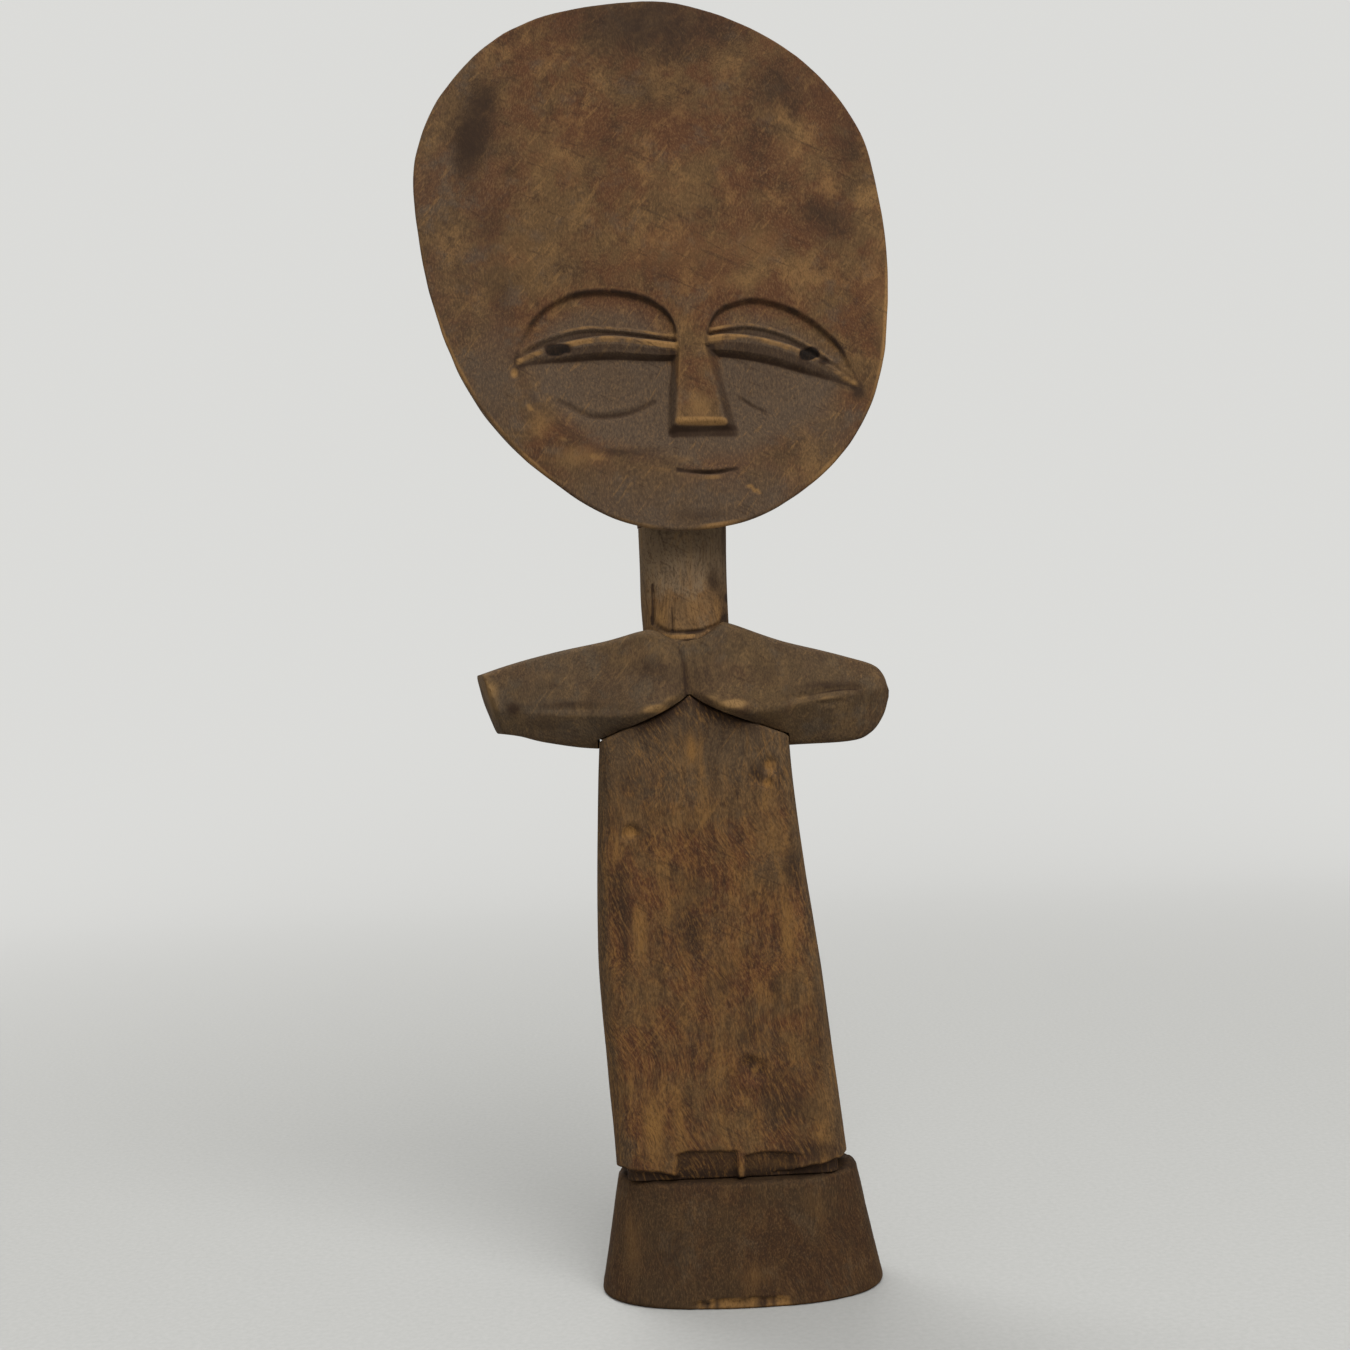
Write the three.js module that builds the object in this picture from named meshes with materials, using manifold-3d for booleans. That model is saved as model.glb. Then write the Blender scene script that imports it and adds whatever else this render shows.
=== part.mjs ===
// A carved wooden fertility doll: a flat oval head with a carved face on a round neck, a yoke of
// chest and stub arms, a flared body and an oval base, held together by hidden dowels.
// Millimetres, +Z up. The face looks along -Y, and the origin is the middle of the base's underside.

import * as THREE from "three";
import { mergeVertices } from "three/addons/utils/BufferGeometryUtils.js";
import Module from "manifold-3d";

// Fit between pieces: the gap that the glue fills
const GLUE_LINE = 0.3;

// Base: an oval plinth that flares towards the floor
const BASE_HEIGHT = 29.3;
const BASE_FOOT_WIDTH = 71.4;
const BASE_FOOT_DEPTH = 41.2;
const BASE_TOP_WIDTH = 60;
const BASE_TOP_DEPTH = 31;
const BASE_EDGE = 1.5;

// Body: a column with a flat front and soft corners, which widens and leans as it comes down
const BODY_LENGTH = 120;
const BODY_FOOT_WIDTH = 58;
const BODY_FOOT_DEPTH = 28;
const BODY_TOP_WIDTH = 48;
const BODY_TOP_DEPTH = 25;
const BODY_CORNER = 6;
const BODY_SWELL = 1.8;
const BODY_FOOT_OFFSET = -1.5;
const BODY_LEAN = -4.6;
const FOOT_GROOVE_DEPTH = 3.4;
const FOOT_GROOVE_SIDE = 1.2;
const FOOT_GROOVE_HEIGHT = 7.5;
const ROOF_SLOPE = 0.45;

// Yoke: chest, breasts and stub arms, astride the pointed top of the body
const LEFT_ARM_REACH = 53.4;
const RIGHT_ARM_REACH = 50.6;
const SHOULDER_HEIGHT = 19.2;
const RIGHT_SHOULDER_LIFT = 2;
const ARM_DROP = 14;
const ARM_RIDGE_DROP = 3;
const LEFT_TIP_TOP = 5.7;
const LEFT_TIP_BOTTOM = -8.1;
const LEFT_TIP_SLANT = 4.2;
const RIGHT_TIP_TOP = 5.8;
const RIGHT_TIP_BOTTOM = -12;
const RIGHT_TIP_ROUND = 6.2;
const RIGHT_TIP_SHARE = 0.5;
const CHEST_BACK = 14.5;
const ARM_ROOT_DEPTH = 23;
const ARM_TIP_DEPTH = 13;
const CHEST_EDGE_SHARE = 0.7;
const ARM_EDGE_SHARE = 0.55;
const ARM_EDGE_SOFTNESS = 0.2;
const STERNUM_OVERHANG = 1;
const BREAST_STAND = 6.4;
const BREAST_SPACING = 22.5;
const BREAST_WIDTH = 22.5;

// Neck: an oval post with a slight waist, let into a socket in the yoke
const NECK_LENGTH = 35;
const NECK_WIDTH = 22.4;
const NECK_DEPTH = 20.6;
const NECK_WAIST = 0.5;
const NECK_SHIFT = -0.8;
const SOCKET_FLOOR = 6.8;

// Head: a domed disc tilted back, with its chin in front of the neck and a nape behind
const HEAD_WIDTH = 117.8;
const HEAD_HEIGHT = 140.3;
const HEAD_SIDESTEP = -5;
const HEAD_TILT = THREE.MathUtils.degToRad(10);
const HEAD_RIM = 7.5;
const HEAD_RIM_ROUND = 2;
const FACE_DOME = 3;
const BACK_DOME = 4.5;
const CHIN_GAP = 1.2;
const CHIN_DROP = 2.2;
const NAPE_HEIGHT = 52;
const NAPE_STRAIGHT = 8;
const NAPE_SHIFT = 5;
const NAPE_TIP_WIDTH = 11;
const NAPE_TIP_DEPTH = 9;

// Rim of the head, as shares of its half width and half height, from the chin and up the right side
const RIM_POINTS = [
  [0.11, -1.0], [0.43, -0.96], [0.74, -0.76], [0.93, -0.505], [0.99, -0.17], [0.99, 0.13],
  [0.89, 0.485], [0.62, 0.78], [0.22, 0.963], [-0.17, 0.993], [-0.56, 0.9], [-0.85, 0.68],
  [-0.99, 0.405], [-0.98, 0.097], [-0.9, -0.25], [-0.74, -0.55], [-0.48, -0.78], [-0.19, -0.95],
];

// Face: a hollow under two brow arcs, with a nose left standing and two bean eyes.
// Places are measured from the neck's middle line and up from the chin.
const LEFT_EYE_CORNER_X = -39.5;
const LEFT_EYE_CORNER_Z = 43.5;
const LEFT_BROW_END_X = 0.8;
const LEFT_BROW_END_Z = 47;
const LEFT_BROW_RISE = 66.4;
const RIGHT_BROW_END_X = 8;
const RIGHT_BROW_END_Z = 47;
const RIGHT_EYE_CORNER_X = 44.2;
const RIGHT_EYE_CORNER_Z = 36.3;
const RIGHT_BROW_RISE = 62;
const BROW_DRAW = 6;
const LEFT_MOUTH_CORNER_X = -0.5;
const LEFT_MOUTH_CORNER_Z = 14.7;
const RIGHT_MOUTH_CORNER_X = 15.6;
const RIGHT_MOUTH_CORNER_Z = 14.8;
const HOLLOW_MIDDLE_X = 3;
const HOLLOW_MIDDLE_Z = 45;
const HOLLOW_WIDTH = 88;
const HOLLOW_HEIGHT = 62;
const HOLLOW_DEPTH = 4.2;
const HOLLOW_RISE = 2.4;
const JAW_LINE = 4;
const NOSE_TOP = 51;
const NOSE_TIP = 26.3;
const NOSE_BOTTOM = 22.8;
const NOSE_BRIDGE_WIDTH = 6.5;
const NOSE_TIP_WIDTH = 11.8;
const NOSE_FLARE = 1.6;
const NOSE_SIDESTEP = 1.9;
const LEFT_EYE_X = -19.4;
const LEFT_EYE_Z = 46.8;
const LEFT_EYE_LENGTH = 39;
const RIGHT_EYE_X = 26.2;
const RIGHT_EYE_Z = 43;
const RIGHT_EYE_LENGTH = 37;
const RIGHT_EYE_TURN = THREE.MathUtils.degToRad(15.5);
const EYE_HEIGHT = 8.5;
const EYE_STAND = 2.9;
const EYE_SLIT = 1.3;
const EYE_SLIT_DEPTH = 1.5;
const MOUTH_OPENING = 1.4;
const MOUTH_DEPTH = 2;

// Dowels
const DOWEL_DIAMETER = 10;
const DOWEL_BEVEL = 1;
const HOLE_RUNOUT = 8;
const SPINE_INTO_BODY = 22;
const SPINE_INTO_NECK = 13;
const HEAD_DOWEL_DEPTH = 15;
const FOOT_DOWEL_DIAMETER = 8;
const FOOT_DOWEL_SPACING = 28;
const FOOT_DOWEL_INTO_BASE = 14;
const FOOT_DOWEL_INTO_BODY = 18;

// Fineness of the facets
const OVAL_STEPS = 40;
const CORNER_STEPS = 5;
const RIM_STEPS = 88;
const BODY_STEPS = 10;
const DOME_SHARES = [0.2, 0.45, 0.7, 0.88];
const BOWL_SHARE = 1.3;
const NAPE_STEPS = 6;
const CHEST_STEPS = 16;
const CURVE_STEPS = 14;
const BEAN_STEPS = 24;

const wasm = await Module();
wasm.setup();

// Skins a stack of rings with as many points each, and closes both ends
function loft(rings) {
  const count = rings[0].length;
  const points = rings.flat();
  const index = [];
  for (let r = 0; r < rings.length - 1; r++) {
    for (let i = 0; i < count; i++) {
      const a = r * count + i;
      const b = r * count + ((i + 1) % count);
      index.push(a, b, b + count, a, b + count, a + count);
    }
  }
  const last = (rings.length - 1) * count;
  const firstMiddle = points.push(middleOf(rings[0])) - 1;
  const lastMiddle = points.push(middleOf(rings.at(-1))) - 1;
  for (let i = 0; i < count; i++) {
    const next = (i + 1) % count;
    index.push(firstMiddle, next, i, lastMiddle, last + i, last + next);
  }
  return new THREE.BufferGeometry().setFromPoints(points).setIndex(index);
}

function middleOf(ring) {
  const sum = ring.reduce((total, point) => total.add(point), new THREE.Vector3());
  return sum.divideScalar(ring.length);
}

// A closed geometry as a solid that can be joined and cut
function solid(geometry) {
  const bare = new THREE.BufferGeometry();
  bare.setAttribute("position", geometry.getAttribute("position"));
  bare.setIndex(geometry.getIndex());
  const merged = mergeVertices(bare);
  return new wasm.Manifold(new wasm.Mesh({
    numProp: 3,
    vertProperties: new Float32Array(merged.getAttribute("position").array),
    triVerts: new Uint32Array(merged.getIndex().array),
  }));
}

// A solid as a geometry
function shell(body) {
  const { vertProperties, triVerts } = body.getMesh();
  const geometry = new THREE.BufferGeometry();
  geometry.setAttribute("position", new THREE.BufferAttribute(vertProperties, 3));
  geometry.setIndex(new THREE.BufferAttribute(triVerts, 1));
  geometry.computeVertexNormals();
  return geometry;
}

// A level oval of points
function oval(width, depth, z, x = 0, y = 0) {
  return Array.from({ length: OVAL_STEPS }, (_, i) => {
    const turn = (i / OVAL_STEPS) * 2 * Math.PI;
    return new THREE.Vector3(x + (width / 2) * Math.cos(turn), y + (depth / 2) * Math.sin(turn), z);
  });
}

// A level rectangle of points with round corners
function softRectangle(width, depth, corner, z, x) {
  const points = [];
  for (let quarter = 0; quarter < 4; quarter++) {
    const middleX = (quarter === 0 || quarter === 3 ? 1 : -1) * (width / 2 - corner);
    const middleY = (quarter < 2 ? 1 : -1) * (depth / 2 - corner);
    for (let i = 0; i <= CORNER_STEPS; i++) {
      const turn = ((quarter + i / CORNER_STEPS) * Math.PI) / 2;
      const outX = middleX + corner * Math.cos(turn);
      const outY = middleY + corner * Math.sin(turn);
      points.push(new THREE.Vector3(x + outX, outY, z));
    }
  }
  return points;
}

// A round pin along Z, from its bottom to its top, with bevelled ends
function pin(diameter, bottom, top) {
  const radius = diameter / 2;
  const profile = [
    new THREE.Vector2(0, bottom),
    new THREE.Vector2(radius - DOWEL_BEVEL, bottom),
    new THREE.Vector2(radius, bottom + DOWEL_BEVEL),
    new THREE.Vector2(radius, top - DOWEL_BEVEL),
    new THREE.Vector2(radius - DOWEL_BEVEL, top),
    new THREE.Vector2(0, top),
  ];
  return new THREE.LatheGeometry(profile, OVAL_STEPS).rotateX(Math.PI / 2);
}

// The hole for a pin, with room for glue all round
function pinHole(diameter, bottom, top) {
  return solid(pin(diameter + 2 * GLUE_LINE, bottom - GLUE_LINE, top + GLUE_LINE));
}

// An outline in the face's plane, pushed from one depth to another behind that plane
function faceCutter(shape, front, back) {
  const settings = { depth: back - front, bevelEnabled: false, curveSegments: CURVE_STEPS };
  return solid(new THREE.ExtrudeGeometry(shape, settings).rotateX(Math.PI / 2).translate(0, back, 0));
}

function base() {
  const inset = 2 * BASE_EDGE;
  const rings = [
    oval(BASE_FOOT_WIDTH - inset, BASE_FOOT_DEPTH - inset, 0),
    oval(BASE_FOOT_WIDTH, BASE_FOOT_DEPTH, BASE_EDGE),
    oval(BASE_TOP_WIDTH, BASE_TOP_DEPTH, BASE_HEIGHT - BASE_EDGE),
    oval(BASE_TOP_WIDTH - inset, BASE_TOP_DEPTH - inset, BASE_HEIGHT),
  ];
  let block = solid(loft(rings));
  for (const x of footDowelPlaces()) {
    const hole = pinHole(FOOT_DOWEL_DIAMETER, BASE_HEIGHT - FOOT_DOWEL_INTO_BASE, BASE_HEIGHT + HOLE_RUNOUT);
    block = block.subtract(hole.translate(x + BODY_FOOT_OFFSET, 0, 0));
  }
  return shell(block);
}

function footDowelPlaces() {
  return [-FOOT_DOWEL_SPACING / 2, FOOT_DOWEL_SPACING / 2];
}

// The body without its dowel holes, grown all round by a gap
function bodyBlank(grow) {
  const rings = [bodyRing(0, grow - FOOT_GROOVE_SIDE, grow - FOOT_GROOVE_DEPTH)];
  for (let i = 0; i <= BODY_STEPS; i++) {
    const z = THREE.MathUtils.lerp(FOOT_GROOVE_HEIGHT, BODY_LENGTH + grow, i / BODY_STEPS);
    rings.push(bodyRing(z, grow, grow));
  }
  return solid(loft(rings)).subtract(gable(grow, BODY_FOOT_WIDTH, BODY_LENGTH + BODY_FOOT_WIDTH));
}

function bodyRing(z, growSide, growFront) {
  const climbed = z / BODY_LENGTH;
  const narrowing = climbed ** BODY_SWELL;
  const leaning = 1 - Math.max(0, 1 - climbed) ** BODY_SWELL;
  const width = THREE.MathUtils.lerp(BODY_FOOT_WIDTH, BODY_TOP_WIDTH, narrowing) + 2 * growSide;
  const depth = THREE.MathUtils.lerp(BODY_FOOT_DEPTH, BODY_TOP_DEPTH, narrowing) + 2 * growFront;
  return softRectangle(width, depth, BODY_CORNER + growFront, z, BODY_LEAN * leaning);
}

// A block between a level and the two slopes of the body's pointed top, below the middle of the neck
function gable(grow, halfWidth, level) {
  const peak = BODY_LENGTH + grow * Math.hypot(1, ROOF_SLOPE);
  const eaves = peak - halfWidth * ROOF_SLOPE;
  const outline = new THREE.Shape([
    new THREE.Vector2(0, peak),
    new THREE.Vector2(halfWidth, eaves),
    new THREE.Vector2(halfWidth, level),
    new THREE.Vector2(-halfWidth, level),
    new THREE.Vector2(-halfWidth, eaves),
  ]);
  const block = faceCutter(outline, -BODY_FOOT_DEPTH, BODY_FOOT_DEPTH);
  return block.translate(BODY_LEAN + NECK_SHIFT, 0, 0);
}

function body() {
  const spineHole = pinHole(DOWEL_DIAMETER, BODY_LENGTH - SPINE_INTO_BODY, BODY_LENGTH + HOLE_RUNOUT);
  let column = bodyBlank(0).subtract(spineHole.translate(BODY_LEAN + NECK_SHIFT, 0, 0));
  for (const x of footDowelPlaces()) {
    const hole = pinHole(FOOT_DOWEL_DIAMETER, -HOLE_RUNOUT, FOOT_DOWEL_INTO_BODY);
    column = column.subtract(hole.translate(x, 0, 0));
  }
  return shell(column);
}

// One upright slice of the yoke: six soft-edged sides, with a ridge front and back.
// The breast is what the front ridge stands out beyond the plain stem.
function yokeRing(x, { top, bottom, stem, breast = 0, back, edge, slant = 0 }) {
  const ridge = THREE.MathUtils.clamp(-ARM_RIDGE_DROP, bottom, top);
  const corners = [
    [back, ridge],
    [back * edge, top],
    [-stem * edge, top],
    [-stem - breast, ridge],
    [-stem * edge, bottom],
    [back * edge, bottom],
  ];
  const points = [];
  corners.forEach(([y, z], i) => {
    const before = corners.at(i - 1);
    const after = corners[(i + 1) % corners.length];
    for (const [otherY, otherZ] of [before, after]) {
      const softY = THREE.MathUtils.lerp(y, otherY, ARM_EDGE_SOFTNESS);
      const softZ = THREE.MathUtils.lerp(z, otherZ, ARM_EDGE_SOFTNESS);
      const drop = (top - softZ) / (top - bottom);
      points.push(new THREE.Vector3(x + slant * drop, softY, softZ));
    }
  });
  return points;
}

// The slices of the chest, from shoulder to shoulder
function chestRings(leftTop, rightTop) {
  const shoulder = BODY_TOP_WIDTH / 2;
  const rings = [];
  for (let i = 0; i <= CHEST_STEPS; i++) {
    const x = THREE.MathUtils.lerp(-shoulder, shoulder, i / CHEST_STEPS);
    const out = Math.abs(x);
    const fromCrest = Math.min(1, Math.abs(out - BREAST_SPACING / 2) / (BREAST_WIDTH / 2));
    const swell = Math.cos((fromCrest * Math.PI) / 2);
    const toArm = (middle, arm) => THREE.MathUtils.lerp(middle, arm, out / shoulder);
    rings.push(yokeRing(x, {
      top: x < 0 ? leftTop(out) : rightTop(out) + RIGHT_SHOULDER_LIFT * swell,
      bottom: -ARM_DROP,
      stem: toArm(BODY_TOP_DEPTH / 2 + STERNUM_OVERHANG, ARM_ROOT_DEPTH / 2),
      breast: BREAST_STAND * swell,
      back: toArm(CHEST_BACK, ARM_ROOT_DEPTH / 2),
      edge: toArm(CHEST_EDGE_SHARE, ARM_EDGE_SHARE),
    }));
  }
  return rings;
}

// The yoke stands on the peak of the body, below the middle of the neck
function yoke() {
  const tip = ARM_TIP_DEPTH / 2;
  const tipEnd = RIGHT_TIP_SHARE * tip;
  const rightBend = RIGHT_ARM_REACH - RIGHT_TIP_ROUND;
  const rightMiddle = (RIGHT_TIP_TOP + RIGHT_TIP_BOTTOM) / 2;
  const rightHalf = (RIGHT_TIP_SHARE * (RIGHT_TIP_TOP - RIGHT_TIP_BOTTOM)) / 2;
  const leftTop = (out) => THREE.MathUtils.lerp(SHOULDER_HEIGHT, LEFT_TIP_TOP, out / LEFT_ARM_REACH);
  const rightTop = (out) => THREE.MathUtils.lerp(SHOULDER_HEIGHT, RIGHT_TIP_TOP, out / rightBend);
  const arms = loft([
    yokeRing(-LEFT_ARM_REACH, {
      top: LEFT_TIP_TOP,
      bottom: LEFT_TIP_BOTTOM,
      stem: tip,
      back: tip,
      edge: ARM_EDGE_SHARE,
      slant: LEFT_TIP_SLANT,
    }),
    ...chestRings(leftTop, rightTop),
    yokeRing(rightBend, {
      top: RIGHT_TIP_TOP,
      bottom: RIGHT_TIP_BOTTOM,
      stem: tip,
      back: tip,
      edge: ARM_EDGE_SHARE,
    }),
    yokeRing(RIGHT_ARM_REACH, {
      top: rightMiddle + rightHalf,
      bottom: rightMiddle - rightHalf,
      stem: tipEnd,
      back: tipEnd,
      edge: ARM_EDGE_SHARE,
    }),
  ]);
  const bodyRoom = bodyBlank(GLUE_LINE).add(gable(GLUE_LINE, BODY_TOP_WIDTH / 2, 0));
  const socketWidth = NECK_WIDTH + 2 * GLUE_LINE;
  const socketDepth = NECK_DEPTH + 2 * GLUE_LINE;
  const socket = loft([
    oval(socketWidth, socketDepth, SOCKET_FLOOR),
    oval(socketWidth, socketDepth, SOCKET_FLOOR + NECK_LENGTH),
  ]);
  const block = solid(arms).subtract(solid(socket));
  const spineHole = pinHole(DOWEL_DIAMETER, -HOLE_RUNOUT, SOCKET_FLOOR + HOLE_RUNOUT);
  const housing = bodyRoom.translate(-BODY_LEAN - NECK_SHIFT, 0, -BODY_LENGTH);
  return shell(block.subtract(housing).subtract(spineHole));
}

function neck() {
  const waistWidth = NECK_WIDTH - 2 * NECK_WAIST;
  const waistDepth = NECK_DEPTH - 2 * NECK_WAIST;
  const post = loft([
    oval(NECK_WIDTH, NECK_DEPTH, 0),
    oval(waistWidth, waistDepth, NECK_LENGTH / 2),
    oval(NECK_WIDTH, NECK_DEPTH, NECK_LENGTH),
  ]);
  const spineHole = pinHole(DOWEL_DIAMETER, -HOLE_RUNOUT, SPINE_INTO_NECK);
  const headHole = pinHole(DOWEL_DIAMETER, NECK_LENGTH - HEAD_DOWEL_DEPTH, NECK_LENGTH + HOLE_RUNOUT);
  return shell(solid(post).subtract(spineHole).subtract(headHole));
}

// The rim's outline shrunk towards the middle of the head, at one depth behind the face's plane
function rimRing(curve, share, y) {
  return curve.getSpacedPoints(RIM_STEPS).slice(0, RIM_STEPS).map((point) => new THREE.Vector3(
    HEAD_SIDESTEP + (share * point.x * HEAD_WIDTH) / 2,
    y,
    ((1 + share * point.y) * HEAD_HEIGHT) / 2,
  ));
}

// The blank disc, from the middle of its back to the middle of its front
function disc() {
  const rim = RIM_POINTS.map(([x, y]) => new THREE.Vector3(x, y, 0));
  const curve = new THREE.CatmullRomCurve3(rim, true);
  const edgeShare = 1 - (2 * HEAD_RIM_ROUND) / HEAD_WIDTH;
  const bulge = (share) => 1 - share * share;
  const backRing = (share) => rimRing(curve, share, HEAD_RIM + BACK_DOME * bulge(share));
  const frontRing = (share) => rimRing(curve, share, -FACE_DOME * bulge(share));
  const edge = [rimRing(curve, 1, HEAD_RIM - HEAD_RIM_ROUND), rimRing(curve, 1, HEAD_RIM_ROUND)];
  const front = [...DOME_SHARES, edgeShare].map(frontRing).reverse();
  return solid(loft([...DOME_SHARES.map(backRing), backRing(edgeShare), ...edge, ...front]));
}

// The outline of the carved face: two brow arcs above, and an arc that runs below the mouth
function faceOutline() {
  const outline = new THREE.Shape();
  outline.moveTo(LEFT_EYE_CORNER_X, LEFT_EYE_CORNER_Z);
  outline.bezierCurveTo(
    LEFT_EYE_CORNER_X, JAW_LINE, RIGHT_EYE_CORNER_X, JAW_LINE, RIGHT_EYE_CORNER_X, RIGHT_EYE_CORNER_Z);
  outline.bezierCurveTo(
    RIGHT_EYE_CORNER_X - BROW_DRAW, RIGHT_BROW_RISE,
    RIGHT_BROW_END_X, RIGHT_BROW_RISE,
    RIGHT_BROW_END_X, RIGHT_BROW_END_Z);
  outline.lineTo(LEFT_BROW_END_X, LEFT_BROW_END_Z);
  outline.bezierCurveTo(
    LEFT_BROW_END_X + BROW_DRAW / 2, LEFT_BROW_RISE,
    LEFT_EYE_CORNER_X, LEFT_BROW_RISE,
    LEFT_EYE_CORNER_X, LEFT_EYE_CORNER_Z);
  return outline;
}

// The hollow of the face: a shallow bowl inside the outline, which leaves the nose standing
function faceHollow() {
  const floor = HOLLOW_DEPTH - FACE_DOME;
  const profile = [new THREE.Vector2(0, -2 * HEAD_RIM)];
  for (let i = CURVE_STEPS; i >= 0; i--) {
    const out = (BOWL_SHARE * i) / CURVE_STEPS;
    profile.push(new THREE.Vector2(out, floor - HOLLOW_RISE * out * out));
  }
  const bowl = new THREE.LatheGeometry(profile, RIM_STEPS);
  bowl.scale(HOLLOW_WIDTH / 2, 1, HOLLOW_HEIGHT / 2).translate(HOLLOW_MIDDLE_X, 0, HOLLOW_MIDDLE_Z);
  return faceCutter(faceOutline(), -HEAD_RIM, HEAD_RIM).intersect(solid(bowl)).subtract(nose());
}

// The nose: a wedge that widens towards its tip, with sloping sides and a sloping underside
function nose() {
  const bridge = (LEFT_BROW_END_X + RIGHT_BROW_END_X) / 2;
  const slope = (NOSE_TIP - NOSE_BOTTOM) / HOLLOW_DEPTH;
  const ring = (y) => {
    const deeper = y + FACE_DOME;
    const flare = NOSE_FLARE * (deeper / HOLLOW_DEPTH);
    const bottom = NOSE_TIP - slope * deeper;
    return [
      new THREE.Vector3(bridge + NOSE_SIDESTEP - NOSE_TIP_WIDTH / 2 - flare, y, bottom),
      new THREE.Vector3(bridge + NOSE_SIDESTEP + NOSE_TIP_WIDTH / 2 + flare, y, bottom),
      new THREE.Vector3(bridge + NOSE_BRIDGE_WIDTH / 2 + flare, y, NOSE_TOP),
      new THREE.Vector3(bridge - NOSE_BRIDGE_WIDTH / 2 - flare, y, NOSE_TOP),
    ];
  };
  return solid(loft([ring(HEAD_RIM), ring(-FACE_DOME)]));
}

// A flat lens shape between two points, bowed up and down
function lens(length, opening) {
  const shape = new THREE.Shape();
  shape.moveTo(-length / 2, 0);
  shape.quadraticCurveTo(0, -opening, length / 2, 0);
  shape.quadraticCurveTo(0, opening, -length / 2, 0);
  return shape;
}

// A bean eye lying in the hollow, level before it is turned into its place
function eyeBean(length) {
  const bean = new THREE.SphereGeometry(1, BEAN_STEPS, CURVE_STEPS).rotateZ(Math.PI / 2);
  bean.scale(length / 2, EYE_STAND, EYE_HEIGHT / 2);
  return solid(bean.translate(0, HOLLOW_DEPTH - FACE_DOME, 0));
}

// The slit across a bean eye
function eyeSlit(length) {
  const eyeFront = HOLLOW_DEPTH - FACE_DOME - EYE_STAND;
  return faceCutter(lens(length, EYE_SLIT), -HEAD_RIM, eyeFront + EYE_SLIT_DEPTH);
}

function mouthSlit() {
  const width = RIGHT_MOUTH_CORNER_X - LEFT_MOUTH_CORNER_X;
  const slit = faceCutter(lens(width, MOUTH_OPENING), -HEAD_RIM, MOUTH_DEPTH - FACE_DOME / 2);
  return slit.translate((LEFT_MOUTH_CORNER_X + RIGHT_MOUTH_CORNER_X) / 2, 0, LEFT_MOUTH_CORNER_Z);
}

// The nape: the neck's oval, carried up straight past the dowel and then drawn in to the disc's back
function nape() {
  const rings = [oval(NECK_WIDTH, NECK_DEPTH, 0)];
  for (let i = 0; i <= NAPE_STEPS; i++) {
    const climb = i / NAPE_STEPS;
    const draw = climb * climb * (3 - 2 * climb);
    const z = THREE.MathUtils.lerp(NAPE_STRAIGHT, NAPE_HEIGHT, climb);
    const width = THREE.MathUtils.lerp(NECK_WIDTH, NAPE_TIP_WIDTH, draw);
    const depth = THREE.MathUtils.lerp(NECK_DEPTH, NAPE_TIP_DEPTH, draw);
    rings.push(oval(width, depth, z, 0, -NAPE_SHIFT * draw));
  }
  return solid(loft(rings));
}

// The head stands on the neck's top: its disc is tilted back, and the nape fairs it into the neck
function head() {
  let face = disc().subtract(faceHollow());
  const eyes = [
    { x: LEFT_EYE_X, z: LEFT_EYE_Z, length: LEFT_EYE_LENGTH, turn: 0 },
    { x: RIGHT_EYE_X, z: RIGHT_EYE_Z, length: RIGHT_EYE_LENGTH, turn: RIGHT_EYE_TURN },
  ];
  for (const { x, z, length, turn } of eyes) {
    const settle = (form) => form.rotate([0, THREE.MathUtils.radToDeg(turn), 0]).translate(x, 0, z);
    face = face.add(settle(eyeBean(length))).subtract(settle(eyeSlit(length)));
  }
  const chinForward = NECK_DEPTH / 2 + CHIN_GAP + HEAD_RIM;
  const degrees = -THREE.MathUtils.radToDeg(HEAD_TILT);
  face = face.subtract(mouthSlit()).rotate([degrees, 0, 0]).translate(0, -chinForward, -CHIN_DROP);
  const dowelHole = pinHole(DOWEL_DIAMETER, -HOLE_RUNOUT, HEAD_DOWEL_DEPTH);
  return shell(face.add(nape()).subtract(dowelHole));
}

function wood(color, roughness) {
  return new THREE.MeshStandardMaterial({ color, roughness, metalness: 0 });
}

const doll = new THREE.Group();

function place(name, geometry, material, x, z) {
  const mesh = new THREE.Mesh(geometry, material);
  mesh.name = name;
  mesh.position.set(x, 0, z);
  doll.add(mesh);
}

const bodyFoot = BASE_HEIGHT + GLUE_LINE;
const bodyPeak = bodyFoot + BODY_LENGTH;
const neckLine = BODY_FOOT_OFFSET + BODY_LEAN + NECK_SHIFT;
const neckFoot = bodyPeak + SOCKET_FLOOR + GLUE_LINE;
const neckTop = neckFoot + NECK_LENGTH;
const dowelWood = wood(0xb48f62, 0.7);

place("base", base(), wood(0x453424, 0.6), 0, 0);
place("body", body(), wood(0x5e442d, 0.55), BODY_FOOT_OFFSET, bodyFoot);
place("yoke", yoke(), wood(0x544331, 0.55), neckLine, bodyPeak);
place("neck", neck(), wood(0x5d4b37, 0.6), neckLine, neckFoot);
place("head", head(), wood(0x674d34, 0.55), neckLine, neckTop + GLUE_LINE);

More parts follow.
